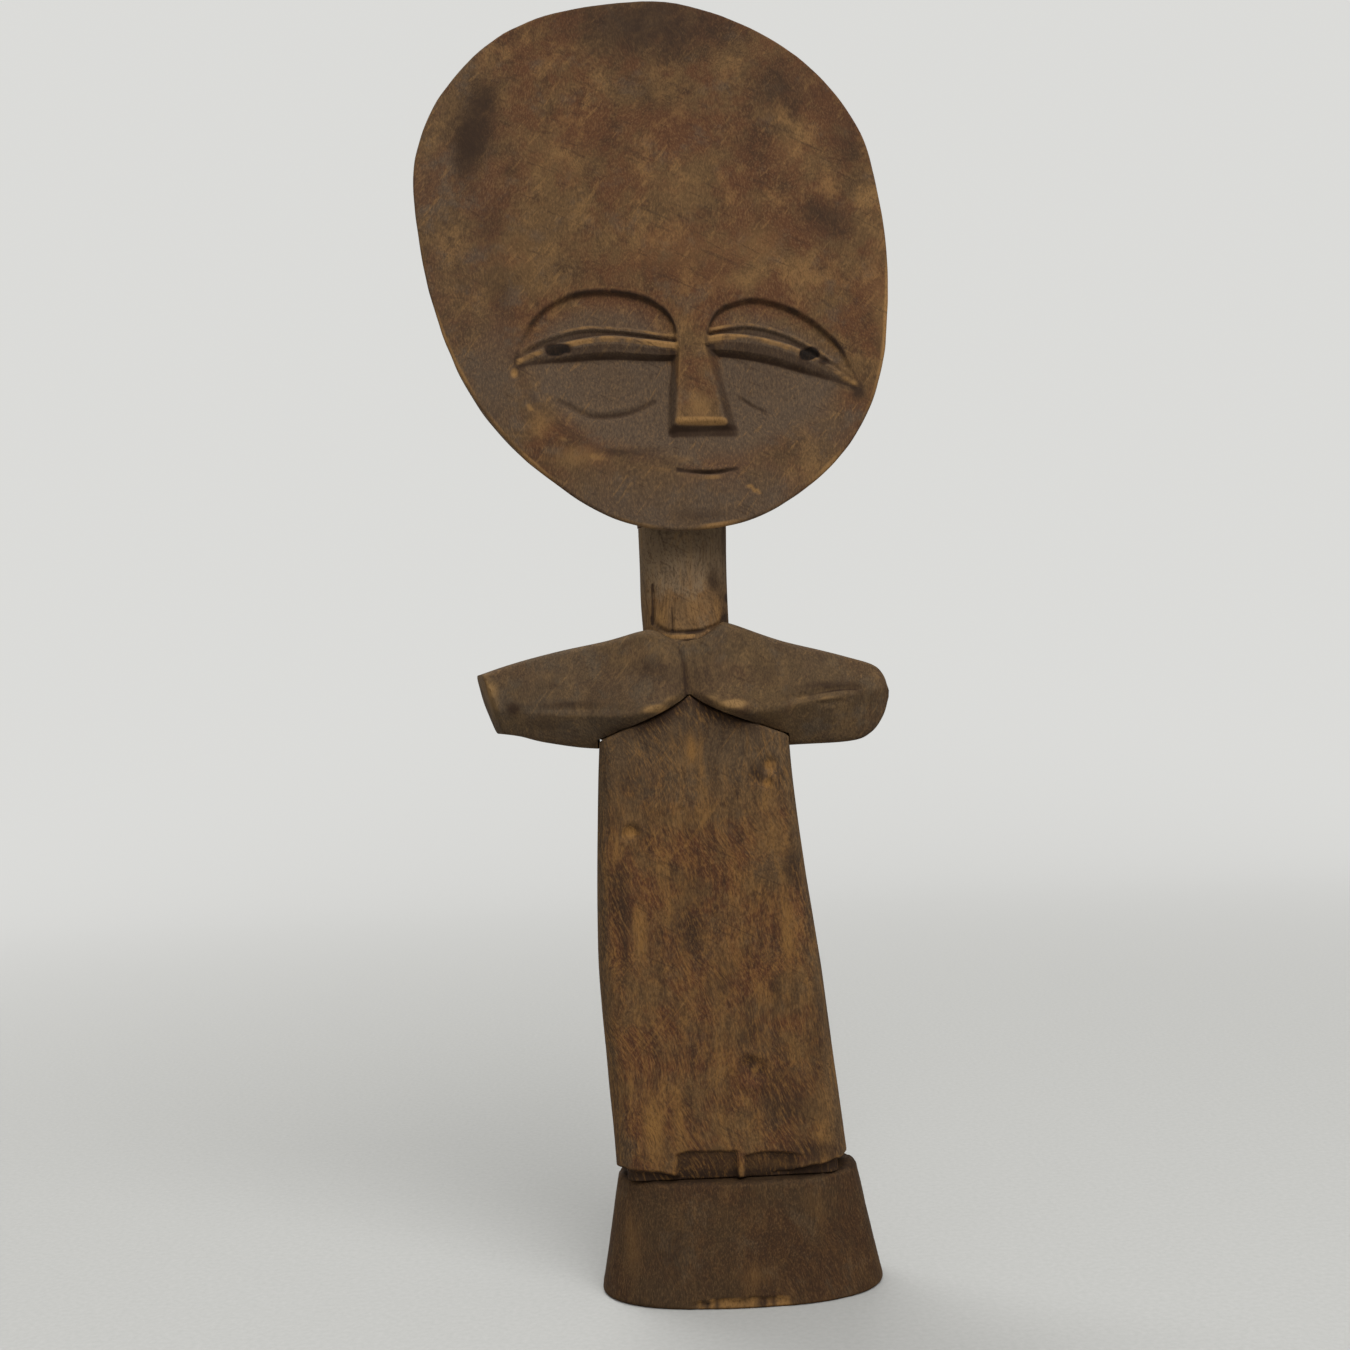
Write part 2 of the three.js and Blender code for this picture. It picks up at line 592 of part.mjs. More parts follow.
const spine = pin(DOWEL_DIAMETER, bodyPeak - SPINE_INTO_BODY, neckFoot + SPINE_INTO_NECK);
place("spine_dowel", spine, dowelWood, neckLine, 0);
const headDowel = pin(DOWEL_DIAMETER, -HEAD_DOWEL_DEPTH, HEAD_DOWEL_DEPTH + GLUE_LINE);
place("head_dowel", headDowel, dowelWood, neckLine, neckTop);
for (const [name, x] of [["foot_dowel_left", -1], ["foot_dowel_right", 1]]) {
  const dowel = pin(FOOT_DOWEL_DIAMETER, -FOOT_DOWEL_INTO_BASE, FOOT_DOWEL_INTO_BODY + GLUE_LINE);
  place(name, dowel, dowelWood, BODY_FOOT_OFFSET + (x * FOOT_DOWEL_SPACING) / 2, BASE_HEIGHT);
}

export default doll;
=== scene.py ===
"""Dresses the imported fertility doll: every carved piece as a dense hand-worked form in stained wood.

Lengths are millimetres in the doll's own frame until a mesh is made. Z is up and the face looks along -Y.
"""

import math

import bpy
import numpy as np
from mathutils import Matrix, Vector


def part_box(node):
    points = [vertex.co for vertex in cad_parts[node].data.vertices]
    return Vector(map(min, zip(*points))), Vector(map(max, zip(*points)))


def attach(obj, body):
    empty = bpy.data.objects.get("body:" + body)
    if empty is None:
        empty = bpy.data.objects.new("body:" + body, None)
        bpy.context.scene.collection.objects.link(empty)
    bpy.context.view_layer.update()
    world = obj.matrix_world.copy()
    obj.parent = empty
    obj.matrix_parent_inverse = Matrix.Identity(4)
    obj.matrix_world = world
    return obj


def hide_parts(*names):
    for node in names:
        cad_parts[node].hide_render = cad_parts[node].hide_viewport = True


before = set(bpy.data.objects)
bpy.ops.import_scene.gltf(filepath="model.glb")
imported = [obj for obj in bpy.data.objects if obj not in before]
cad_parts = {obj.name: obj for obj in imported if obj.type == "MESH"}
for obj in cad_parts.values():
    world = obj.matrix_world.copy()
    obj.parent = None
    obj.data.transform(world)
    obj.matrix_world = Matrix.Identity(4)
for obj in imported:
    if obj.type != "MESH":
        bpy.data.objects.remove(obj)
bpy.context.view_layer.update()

MM = 0.001
GLUE_LINE = 0.3
CLOSE_SEAM = 0.1


def node_box(node):
    low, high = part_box(node)
    return np.array(low) / MM, np.array(high) / MM


BASE_HIGH = node_box("base")[1]
BODY_LOW, BODY_HIGH = node_box("body")
NECK_LOW, NECK_HIGH = node_box("neck")
HEAD_LOW, HEAD_HIGH = node_box("head")

NECK_X = (NECK_LOW[0] + NECK_HIGH[0]) / 2
NECK_HALF_WIDTH = (NECK_HIGH[0] - NECK_LOW[0]) / 2
NECK_HALF_DEPTH = (NECK_HIGH[1] - NECK_LOW[1]) / 2
BODY_FOOT = BODY_LOW[2]
BODY_PEAK = BODY_HIGH[2]


# Carver's arithmetic

def smooth(low, high, value):
    """0 at low, 1 at high and smooth between. Low may be the larger of the two."""
    share = np.clip((value - low) / (high - low), 0, 1)
    return share * share * (3 - 2 * share)


def window(value, start, full, fade, end):
    """0 before start, 1 from full to fade, and 0 again after end."""
    return smooth(start, full, value) * (1 - smooth(fade, end, value))


def soft_max(a, b, blend):
    return (a + b + np.sqrt((a - b) ** 2 + blend**2)) / 2


def soft_min(a, b, blend):
    return -soft_max(-a, -b, blend)


def full_turn(count):
    """Cosines and sines of a full turn in even steps."""
    turn = np.linspace(0, 2 * np.pi, count, endpoint=False)
    return np.cos(turn), np.sin(turn)


LATTICE = 32


def ripple(places, size, seed):
    """Smooth random values from -1 to 1 with bumps about size across, which may differ along X, Y and Z."""
    lattice = np.random.default_rng(seed).uniform(-1, 1, (LATTICE,) * 3)
    scaled = places / np.asarray(size, float)
    cell = np.floor(scaled).astype(int)
    share = smooth(0, 1, scaled - cell)
    total = np.zeros(len(places))
    for corner in np.ndindex(2, 2, 2):
        weight = np.prod(np.where(corner, share, 1 - share), axis=1)
        x, y, z = ((cell + corner) % LATTICE).T
        total += weight * lattice[x, y, z]
    return total


def ripples(places, *waves):
    """Ripples over each other, each given as its height, size and seed."""
    return sum(height * ripple(places, size, seed) for height, size, seed in waves)


def upright(places):
    """Places across and up as points without depth."""
    return np.insert(places, 1, 0, axis=1)


def curve(*points, steps=12, closed=False):
    """A smooth line of points through a few given ones."""
    given = np.array(points, float)
    if closed:
        ends = np.vstack([given[-1], given, given[:2]])
    else:
        ends = np.vstack([2 * given[0] - given[1], given, 2 * given[-1] - given[-2]])
    t = np.linspace(0, 1, steps, endpoint=False)[:, None]
    spans = []
    for a, b, c, d in zip(ends, ends[1:], ends[2:], ends[3:]):
        spans.append(0.5 * (2 * b + (c - a) * t + (2 * a - 5 * b + 4 * c - d) * t**2
                            + (3 * b - a - 3 * c + d) * t**3))
    line = np.vstack(spans)
    return line if closed else np.vstack([line, given[-1]])


def nearest(places, line):
    """How far each place is from a line of points, and at what share of the line's length, from 0 to 1."""
    legs = np.diff(line, axis=0)
    lengths = np.maximum(np.linalg.norm(legs, axis=1), 1e-6)
    walked = np.concatenate([[0], np.cumsum(lengths)])
    gap = np.full(len(places), np.inf)
    along = np.zeros(len(places))
    for start, leg, length, before in zip(line, legs, lengths, walked):
        share = np.clip((places - start) @ leg / length**2, 0, 1)
        distance = np.linalg.norm(places - start - share[:, None] * leg, axis=1)
        along = np.where(distance < gap, (before + share * length) / walked[-1], along)
        gap = np.minimum(gap, distance)
    return gap, along


def gap_to(places, *lines):
    return np.minimum.reduce([nearest(places, line)[0] for line in lines])


def inside(places, outline):
    """Which places lie inside a closed outline."""
    x, y = places.T
    odd = np.zeros(len(places), bool)
    for (ax, ay), (bx, by) in zip(outline, np.roll(outline, -1, axis=0)):
        crosses = (ay > y) != (by > y)
        level = by - ay if by != ay else 1
        odd ^= crosses & (x < ax + (bx - ax) * (y - ay) / level)
    return odd


def knife_cuts(places, *cuts):
    """The depth of V-shaped cuts that run out at both ends, each given as its line, width and depth."""
    total = 0
    for line, width, depth in cuts:
        gap, along = nearest(places, line)
        run_out = np.sin(np.pi * np.clip(along, 0.02, 0.98)) ** 0.5
        total = total + depth * np.clip(1 - gap / (width / 2), 0, 1) * run_out
    return total


def reach_share(places, middle, reach):
    """0 in the middle of a patch and 1 at its reach."""
    return np.linalg.norm((places - np.array(middle)) / np.array(reach), axis=1)


def spot(places, middle, reach):
    """A soft mark: 1 in its middle and 0 beyond its reach."""
    return 1 - smooth(0, 1, reach_share(places, middle, reach))


def spots(places, *marks):
    """Soft marks, each given as its place across and up, its reach across and up, and its strength."""
    return sum(strength * spot(places, (u, w), (a, b)) for u, w, a, b, strength in marks)


def blot(places, patch):
    """A mark with a plain, ragged edge, from its middle and its reach."""
    ragged = 0.15 * ripple(upright(places), 1.3, 50)
    return 1 - smooth(0.7, 1.05, reach_share(places, *patch) + ragged)


# Meshes

def in_scene(name, data):
    thing = bpy.data.objects.new(name, data)
    bpy.context.scene.collection.objects.link(thing)
    return thing


def skin(name, rings):
    """A closed mesh over a stack of rings, each a row of points in millimetres."""
    rings = np.asarray(rings)
    count, around = rings.shape[:2]
    caps = np.stack([rings[0].mean(axis=0), rings[-1].mean(axis=0)])
    points = np.vstack([rings.reshape(-1, 3), caps]) * MM
    here = np.arange(around)
    there = np.roll(here, -1)
    one_row = np.stack([here, there, around + there, around + here], axis=1)
    sides = np.vstack([row * around + one_row for row in range(count - 1)])
    last_row = (count - 1) * around
    ends = np.vstack([np.stack([there, here, np.full(around, count * around)], axis=1),
                      np.stack([last_row + here, last_row + there, np.full(around, count * around + 1)], axis=1)])
    mesh = bpy.data.meshes.new(name)
    mesh.from_pydata(points.tolist(), [], sides.tolist() + ends.tolist())
    corners = points[np.vstack([sides[:, :3], sides[:, [0, 2, 3]], ends])]
    volume = (corners[:, 0] * np.cross(corners[:, 1], corners[:, 2])).sum()
    if volume < 0:
        mesh.flip_normals()
    return in_scene(name, mesh)


def rod(name, middle, half, low, high, count):
    """An upright oval rod, from its middle, half its width and depth, and its two ends."""
    cos, sin = full_turn(count)
    ring = np.stack([middle[0] + half[0] * cos, middle[1] + half[1] * sin, 0 * cos], axis=1)
    return skin(name, [ring + (0, 0, low), ring + (0, 0, high)])


def join_or_cut(piece, other, operation):
    """Joins another form to a piece, or cuts it out, and does away with the other."""
    step = piece.modifiers.new(operation, "BOOLEAN")
    step.operation = operation
    step.solver = "MANIFOLD"
    step.object = other
    bpy.context.view_layer.update()
    worked = bpy.data.meshes.new_from_object(piece.evaluated_get(bpy.context.evaluated_depsgraph_get()))
    piece.modifiers.clear()
    piece.data = worked
    bpy.data.objects.remove(other)


BORE_AROUND = 32


def bore_for(piece, *dowels):
    """Cuts the holes that dowels sit in, with room for glue."""
    for dowel in dowels:
        low, high = node_box(dowel)
        radius = (high[0] - low[0]) / 2 + GLUE_LINE
        hole = rod("hole", (low + high) / 2, (radius, radius), low[2] - GLUE_LINE, high[2] + GLUE_LINE, BORE_AROUND)
        join_or_cut(piece, hole, "DIFFERENCE")


def read(items, field, width, kind=float):
    """One field of all the items of a mesh, as rows."""
    values = np.empty(len(items) * width, kind)
    items.foreach_get(field, values)
    return values.reshape(-1, width)


def spread(values, edges, count, rounds):
    """Evens values out between neighbouring points of a mesh."""
    ends = edges.ravel()
    others = edges[:, ::-1].ravel()
    neighbours = np.maximum(np.bincount(ends, minlength=count), 1)
    for _ in range(rounds):
        values = (values + np.bincount(ends, values[others], count) / neighbours) / 2
    return values


BEND_FAINT = 0.04
BEND_PLAIN = 0.4
SPREAD_ROUNDS = 6


def edge_and_hollow(mesh, points):
    """How much each point stands out as an edge, and how much it lies in a hollow, from 0 to 1."""
    count = len(points)
    normals = read(mesh.vertex_normals, "vector", 3)
    edges = read(mesh.edges, "vertices", 2, int)
    here, there = edges.T
    run = points[there] - points[here]
    square = np.maximum((run**2).sum(axis=1), 1e-4)
    bend_here = -(run * normals[here]).sum(axis=1) / square
    bend_there = (run * normals[there]).sum(axis=1) / square
    total = np.bincount(here, bend_here, count) + np.bincount(there, bend_there, count)
    bend = total / np.maximum(np.bincount(edges.ravel(), minlength=count), 1)
    bend = spread(np.clip(bend, -1, 1), edges, count, SPREAD_ROUNDS)
    return smooth(BEND_FAINT, BEND_PLAIN, bend), smooth(BEND_FAINT, BEND_PLAIN, -bend)


def finish_piece(piece, node, material, marks):
    """Lays a carved piece's worn places and painted highlights, its stains and painted shade, and its dust and
    painted sheen on it, and puts it in its node's place.
    """
    mesh = piece.data
    mesh.shade_smooth()
    points = read(mesh.vertices, "co", 3) / MM
    light, dark, dust_and_sheen = marks(points, *edge_and_hollow(mesh, points))
    for name, values, most in (("wear_and_highlight", light, 1), ("stain_and_shade", dark, 2), ("dust_and_sheen_layer", dust_and_sheen, 1)):
        layer = mesh.attributes.new(name, "FLOAT", "POINT")
        layer.data.foreach_set("value", np.clip(values, 0, most).astype(np.float32))
    mesh.materials.clear()
    mesh.materials.append(material)
    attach(piece, "root")
    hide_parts(node)


# Head: a tilted disc. Across is measured from the face's middle line, up from the chin, and out of the face.

FACE_LINE = NECK_X + 0.3
HEAD_TILT = math.radians(10)
TILT_COS, TILT_SIN = math.cos(HEAD_TILT), math.sin(HEAD_TILT)
HEAD_HEIGHT = 140.3
HEAD_RIM = 7.5
RIM_ROUND = 0.8
BACK_ROUND = 3.5
FACE_DOME = 3.0
BACK_DOME = 4.5
CHIN_TUCK = 0.3
CHIN_GAP = 1.2
CHIN_DROP = 2.2
CHIN_Y = NECK_LOW[1] - CHIN_GAP - HEAD_RIM
CHIN_Z = NECK_HIGH[2] + GLUE_LINE - CHIN_DROP
HEAD_MIDDLE = np.array([(HEAD_LOW[0] + HEAD_HIGH[0]) / 2 - FACE_LINE, HEAD_HEIGHT / 2])
HEAD_HALF = np.array([(HEAD_HIGH[0] - HEAD_LOW[0]) / 2, HEAD_HEIGHT / 2])
FACE_MIDDLE = np.array([2.0, 44.0])
HEAD_AROUND = 448

# The rim round the head's middle, in halves of the head's width and height
RIM = curve(
    (0.09, -1.002), (0.43, -0.958), (0.745, -0.77), (0.935, -0.51), (1.005, -0.17), (1.005, 0.13),
    (0.91, 0.495), (0.635, 0.795), (0.225, 0.977), (-0.17, 0.998), (-0.57, 0.913), (-0.858, 0.687),
    (-0.992, 0.406), (-0.977, 0.097), (-0.89, -0.248), (-0.724, -0.541), (-0.485, -0.78), (-0.2, -0.952),
    closed=True, steps=40)

# Carved lines of the face, each from left to right as the face is seen
LEFT_BROW = curve((-39.5, 43.7), (-37.6, 50), (-33, 56.4), (-26, 60.4), (-17, 61.2), (-8.4, 59.6),
                  (-2.6, 56.2), (0.3, 51.7), (0.8, 46))
RIGHT_BROW = curve((8, 46), (8.4, 50.4), (11.7, 55.3), (19.5, 57.5), (27, 55.8), (33.8, 51.9),
                   (40.6, 45), (45.4, 34.6))
LEFT_LID = curve((-39.4, 45), (-34.3, 48.8), (-23.3, 51.5), (-13.1, 50.8), (-3.3, 49), (1.5, 48.3))
LEFT_RIDGE = curve((-39.4, 43.3), (-31.9, 46.2), (-17.9, 48.2), (-7.1, 46.9), (1.5, 45.5))
LEFT_SHADE = curve((-39.4, 42.7), (-32.7, 43.2), (-18.1, 43.6), (-3.6, 42.7), (1.5, 43.2))
RIGHT_LID = curve((7.5, 49.6), (18.2, 50.7), (28, 47.9), (37.5, 41.9), (45.4, 35.2))
RIGHT_RIDGE = curve((7.5, 47.1), (14.7, 47.4), (24.5, 45.5), (33, 41.9), (45.4, 33.9))
RIGHT_SHADE = curve((7.5, 43.8), (21, 41.3), (34, 37.3), (45.4, 33.3))
LEFT_JAW = curve((-39.5, 43.7), (-37.4, 35.5), (-32.9, 28.6), (-26.2, 22.6), (-19.1, 18.8), (-9.9, 16.3),
                 (-0.5, 14.7))
RIGHT_JAW = curve((15.6, 14.8), (22.1, 17), (29, 20.3), (34.7, 24.3), (40.6, 29.4), (45.4, 34.6))
MOUTH = curve((-0.8, 14.5), (4.5, 13.7), (9, 13.6), (13.8, 14.3))
LEFT_CHEEK = curve((-29, 33.7), (-22.9, 30.1), (-18.6, 29.2), (-11.4, 30.1), (-5.8, 32.6))
RIGHT_CHEEK = curve((15.5, 32.8), (18.6, 30.4), (21.6, 28.8))
HOLLOW_OUTLINE = np.vstack([LEFT_BROW, RIGHT_BROW, RIGHT_JAW[::-1], LEFT_JAW[::-1]])

# Depths below the plain disc
BROW_STEP = 1.5
BROW_WALL = 0.9
LID_DEPTH = 0.7
SLIT_DEPTH = 1.5
RIDGE_DEPTH = 0.3
CHEEK_DEPTH = 3.1
JAW_STEP = 0.3
LIP_DEPTH = 1.2
EYE_FOOT = 2.0

# Half the lower lid's rounded edge, the least fall below it, and how much of the fall the crease lies down
RIDGE_HALF = 0.3
LEAST_FALL = 0.6
CREASE_SHARE = 0.85

# Each eye's brow, upper lid, lower lid, the foot of its dark underside, and where it ends on either side
EYES = ((LEFT_BROW, LEFT_LID, LEFT_RIDGE, LEFT_SHADE, -39.6, 1.0),
        (RIGHT_BROW, RIGHT_LID, RIGHT_RIDGE, RIGHT_SHADE, 8.0, 45.4))
LEFT_PUPIL = ((-29, 46.7), (3.9, 1.7))
RIGHT_PUPIL = ((33.2, 42.9), (2.7, 2.1))

# The nose's tip and root, how far out its sides lie at each, and where its bridge begins
NOSE_RUN = (26, 50)
NOSE_LEFT = (-0.5, 1.7)
NOSE_RIGHT = (11.2, 6.6)
NOSE_BRIDGE = 46
NOSE_LEFT_SLOPE = 1.5
NOSE_RIGHT_SLOPE = 0.95
NOSE_UNDER_SLOPE = 1.05
NOSE_UNDERSIDE = 26.3
LIP_RUN = (14.5, 23)
LIP_LEFT = -1.0
LIP_RIGHT = 13.6
LIP_SLOPE = 0.7

NAPE_CLIMB = 52
NAPE_STRAIGHT = 8
NAPE_TIP_WIDTH = 5.5
NAPE_TIP_DEPTH = 4.5
NAPE_LEAN = 5
NAPE_AROUND = 72
NAPE_LEVELS = 40


def height_along(line, across):
    order = np.argsort(line[:, 0], kind="stable")
    return np.interp(across, line[order, 0], line[order, 1])


def eye_levels(eye, across):
    """Heights of an eye's four lines, the fall below its lower lid, and the height of the crease it ends in."""
    brow_at, lid_at, ridge_at, shade_at = (height_along(line, across) for line in eye[:4])
    fall = np.maximum(ridge_at - shade_at, LEAST_FALL)
    return brow_at, lid_at, ridge_at, shade_at, fall, ridge_at - RIDGE_HALF - CREASE_SHARE * fall


def through_levels(up, levels, depths):
    """A depth at each height, straight between the given levels, which fall from the brow to the cheek."""
    result = depths[0] + 0 * up
    for high, low, before, after in zip(levels, levels[1:], depths, depths[1:]):
        share = np.clip((high - up) / np.maximum(high - low, 0.05), 0, 1)
        result = np.where(up < high, before + (after - before) * share, result)
    return result


def eye_depth(across, up, eye, cheek):
    """From the brow down: a step, a hollow, the upper lid's edge, the slit, the lower lid, its dark underside."""
    brow_at, lid_at, ridge_at, shade_at, fall, crease_at = eye_levels(eye, across)
    brow_at = np.maximum(brow_at, lid_at + 0.6)
    step_foot = np.maximum(brow_at - BROW_WALL, lid_at + 0.5)
    slit_foot = np.minimum(ridge_at + 1.6, lid_at - 1.1)
    levels = [brow_at, step_foot, lid_at + 0.5 * (step_foot - lid_at), lid_at + 0.8, lid_at + 0.3, lid_at - 0.4,
              lid_at - 0.7, slit_foot, slit_foot - 0.45, ridge_at + 0.5, ridge_at - RIDGE_HALF,
              ridge_at - RIDGE_HALF - 0.55 * fall, crease_at, crease_at - 0.4, shade_at - EYE_FOOT]
    crease = np.maximum(cheek, RIDGE_DEPTH + 0.6) + 0.05
    slit = SLIT_DEPTH - (SLIT_DEPTH - LID_DEPTH - 0.3) * smooth(34, 42, across)
    depths = [0, BROW_STEP, BROW_STEP * 0.86, LID_DEPTH + 0.5, LID_DEPTH, LID_DEPTH + 0.1, slit, slit,
              RIDGE_DEPTH + 0.35, RIDGE_DEPTH, RIDGE_DEPTH + 0.2, RIDGE_DEPTH + 0.8, crease, crease, cheek]
    outer = window(across, -40.5, -35, 38.5, 46.5)
    return through_levels(up, levels, [depth * outer for depth in depths])


def hollow_depth(places):
    """How deep the face is cut below the plain disc, without the nose."""
    across, up = places.T
    brow_gap = gap_to(places, LEFT_BROW, RIGHT_BROW)
    jaw_gap = gap_to(places, LEFT_JAW, RIGHT_JAW)
    step = JAW_STEP * (1 - smooth(-8, 4, across))
    fall = CHEEK_DEPTH - step
    cheek = step * smooth(0, 4, jaw_gap) + fall * smooth(-6, 18, jaw_gap) - 0.16 * fall
    left, right = (eye_depth(across, up, eye, cheek) for eye in EYES)
    on_left = across < 4.4
    shade_at = np.where(on_left, height_along(LEFT_SHADE, across), height_along(RIGHT_SHADE, across))
    depth = np.where(up > shade_at - EYE_FOOT, np.where(on_left, left, right), cheek)
    return np.where(inside(places, HOLLOW_OUTLINE), depth * smooth(0, 0.9, brow_gap), 0)


def nose_height(places, plain):
    """The nose: a wedge left standing at the plain disc's height, with sloping sides and underside."""
    across, up = places.T
    left_edge = np.interp(up, NOSE_RUN, NOSE_LEFT)
    right_edge = np.interp(up, NOSE_RUN, NOSE_RIGHT)
    top = plain + np.where(up < NOSE_BRIDGE, 0.9 * (NOSE_BRIDGE - up) / 20, -0.3 * (up - NOSE_BRIDGE))
    left_wall = top - NOSE_LEFT_SLOPE * np.maximum(left_edge - across, -1)
    right_wall = top - NOSE_RIGHT_SLOPE * np.maximum(across - right_edge, -1)
    underside = top - NOSE_UNDER_SLOPE * np.maximum(NOSE_UNDERSIDE - up, -1)
    return soft_min(soft_min(soft_min(top, left_wall, 0.25), right_wall, 0.4), underside, 0.25)


def lip_height(places, plain):
    """The upper lip: a low block between the nose and the mouth."""
    across, up = places.T
    top = plain - np.interp(up, LIP_RUN, [0.25, LIP_DEPTH])
    sides = soft_min(top - LIP_SLOPE * (LIP_LEFT - across), top - LIP_SLOPE * (across - LIP_RIGHT), 0.3)
    return soft_min(top, sides, 0.3) - 4 * np.clip(up - 27, 0, 1)


def face_height(places, share):
    """How far the front of the head stands out of its rim's plane."""
    plain = FACE_DOME * (1 - share**2)
    out = plain - hollow_depth(places)
    out = np.maximum(soft_max(out, lip_height(places, plain), 0.2), nose_height(places, plain))
    out += ripples(upright(places), (0.2, 26, 1), (0.07, 8, 2), (0.025, (2.2, 2.2, 4), 3))
    out -= knife_cuts(places, (MOUTH, 1.2, 1.2))
    out -= knife_cuts(places, (LEFT_CHEEK, 2.6, 0.75), (RIGHT_CHEEK, 1.3, 0.4))
    out -= 0.3 * (blot(places, LEFT_PUPIL) + blot(places, RIGHT_PUPIL))
    out -= spots(places, (17.5, 8.8, 1.2, 1.9, 0.5), (-39.6, 41, 1.6, 2.2, 0.5))
    return out


def head_point(across, out, up):
    """A place on the tilted head, in the doll's frame."""
    y = CHIN_Y - out * TILT_COS + up * TILT_SIN
    z = CHIN_Z + out * TILT_SIN + up * TILT_COS
    return np.stack([FACE_LINE + across, y, z], axis=-1)


def on_head(points):
    """Where points of the doll's frame lie on the tilted head, across and up."""
    y, z = points[:, 1] - CHIN_Y, points[:, 2] - CHIN_Z
    return np.stack([points[:, 0] - FACE_LINE, y * TILT_SIN + z * TILT_COS], axis=1)


def rim_reach(turn):
    """How far the head's rim is from the face's middle in each direction."""
    line = HEAD_MIDDLE + RIM * HEAD_HALF - FACE_MIDDLE
    return np.interp(turn, np.arctan2(line[:, 1], line[:, 0]), np.linalg.norm(line, axis=1), period=2 * np.pi)


def rim_outline(count):
    """The head's rim, uneven as a knife leaves it, with its points closest together level with the eyes."""
    turn = np.linspace(-np.pi, np.pi, 2000)
    walked = np.cumsum(0.4 + np.cos(turn) ** 2)
    even = np.interp(np.linspace(walked[0], walked[-1], count, endpoint=False), walked, turn)
    outward = np.stack([np.cos(even), np.sin(even)], axis=1)
    rim = FACE_MIDDLE + outward * rim_reach(even)[:, None]
    return rim + outward * ripples(upright(rim), (0.25, 14, 4), (0.1, 4, 5))[:, None]


def rounded(gap, radius):
    """How far a rounded edge falls away, at a distance from the outline."""
    short = np.clip(radius - gap, 0, radius)
    return radius - np.sqrt(np.maximum(radius**2 - short**2, 0))


def head():
    rim = rim_outline(HEAD_AROUND)
    rim_gap = np.linalg.norm(rim - FACE_MIDDLE, axis=1)
    edge = 0.96 + 0.04 * np.sin(np.linspace(0, np.pi / 2, 12)[1:])
    steps = np.concatenate([np.linspace(0.004, 0.55, 105), np.linspace(0.555, 0.96, 48), edge])
    places = (FACE_MIDDLE + steps[:, None, None] * (rim - FACE_MIDDLE)).reshape(-1, 2)
    gap = ((1 - steps)[:, None] * rim_gap).ravel()
    share = np.linalg.norm((places - HEAD_MIDDLE) / HEAD_HALF, axis=1)
    out = face_height(places, np.minimum(share, 1)) - rounded(gap, RIM_ROUND)
    rings = list(head_point(places[:, 0], out, places[:, 1]).reshape(len(steps), -1, 3))
    tuck = CHIN_TUCK * smooth(0.2, 0.9, (FACE_MIDDLE[1] - rim[:, 1]) / rim_gap)
    for depth in np.linspace(RIM_ROUND, HEAD_RIM - BACK_ROUND, 5)[1:]:
        rings.append(head_point(rim[:, 0], np.full(len(rim), -depth), rim[:, 1] + tuck * depth))
    for step in np.concatenate([edge[::-1][1:], np.linspace(0.95, 0.02, 18)]):
        places = HEAD_MIDDLE + step * (rim - HEAD_MIDDLE)
        gap = (1 - step) * np.linalg.norm(rim - HEAD_MIDDLE, axis=1)
        chisel = ripples(upright(places), (0.4, (9, 9, 22), 6), (0.16, (4, 4, 9), 7))
        depth = HEAD_RIM + BACK_DOME * (1 - step**2) - rounded(gap, BACK_ROUND) + chisel * smooth(0, 6, gap)
        rings.append(head_point(places[:, 0], -depth, places[:, 1] + tuck * HEAD_RIM * step**8))
    disc = skin("carved_head", rings)
    join_or_cut(disc, nape(), "UNION")
    bore_for(disc, "head_dowel")
    return disc


def nape():
    """Behind the disc the neck's oval runs on, straight at first and then drawn in to the disc's back."""
    seat = NECK_HIGH[2] + GLUE_LINE
    cos, sin = full_turn(NAPE_AROUND)
    rings = []
    for climb in np.linspace(0, NAPE_CLIMB, NAPE_LEVELS):
        draw = smooth(NAPE_STRAIGHT, NAPE_CLIMB, climb)
        width = NECK_HALF_WIDTH + (NAPE_TIP_WIDTH - NECK_HALF_WIDTH) * draw
        depth = NECK_HALF_DEPTH + (NAPE_TIP_DEPTH - NECK_HALF_DEPTH) * draw
        ring = np.stack([NECK_X + width * cos, depth * sin - NAPE_LEAN * draw, 0 * cos + (seat + climb)], axis=1)
        bumps = 0.25 * ripple(ring, (5, 5, 12), 8) * smooth(0, 3, climb)
        rings.append(ring + bumps[:, None] * np.stack([cos, sin, 0 * cos], axis=1))
    return skin("nape", rings)


# Neck: an oval post with a slightly flat front

NECK_FLATNESS = 2.3
NECK_WAIST = 0.3
NECK_AROUND = 160
NECK_LEVELS = 130
NECK_SEAM = curve((-15.4, 168.6), (-14.6, 167.2), (-12.2, 165.3), (-8.6, 164.9), (-5.1, 164.8),
                  (-1.5, 165.4), (1.2, 166.6), (3, 168.2))
NECK_LIP = curve((-13, 164.1), (-9.5, 163.7), (-5.2, 163.8))
NECK_FOOT_LINE = curve((-14, 163.6), (-9.7, 162.7), (-5, 162.7))
NECK_CRACK = curve((-14.8, 177), (-15, 172), (-15.2, 167.4))
NECK_SHORT_CRACK = curve((-10.2, 171), (-10.4, 165))


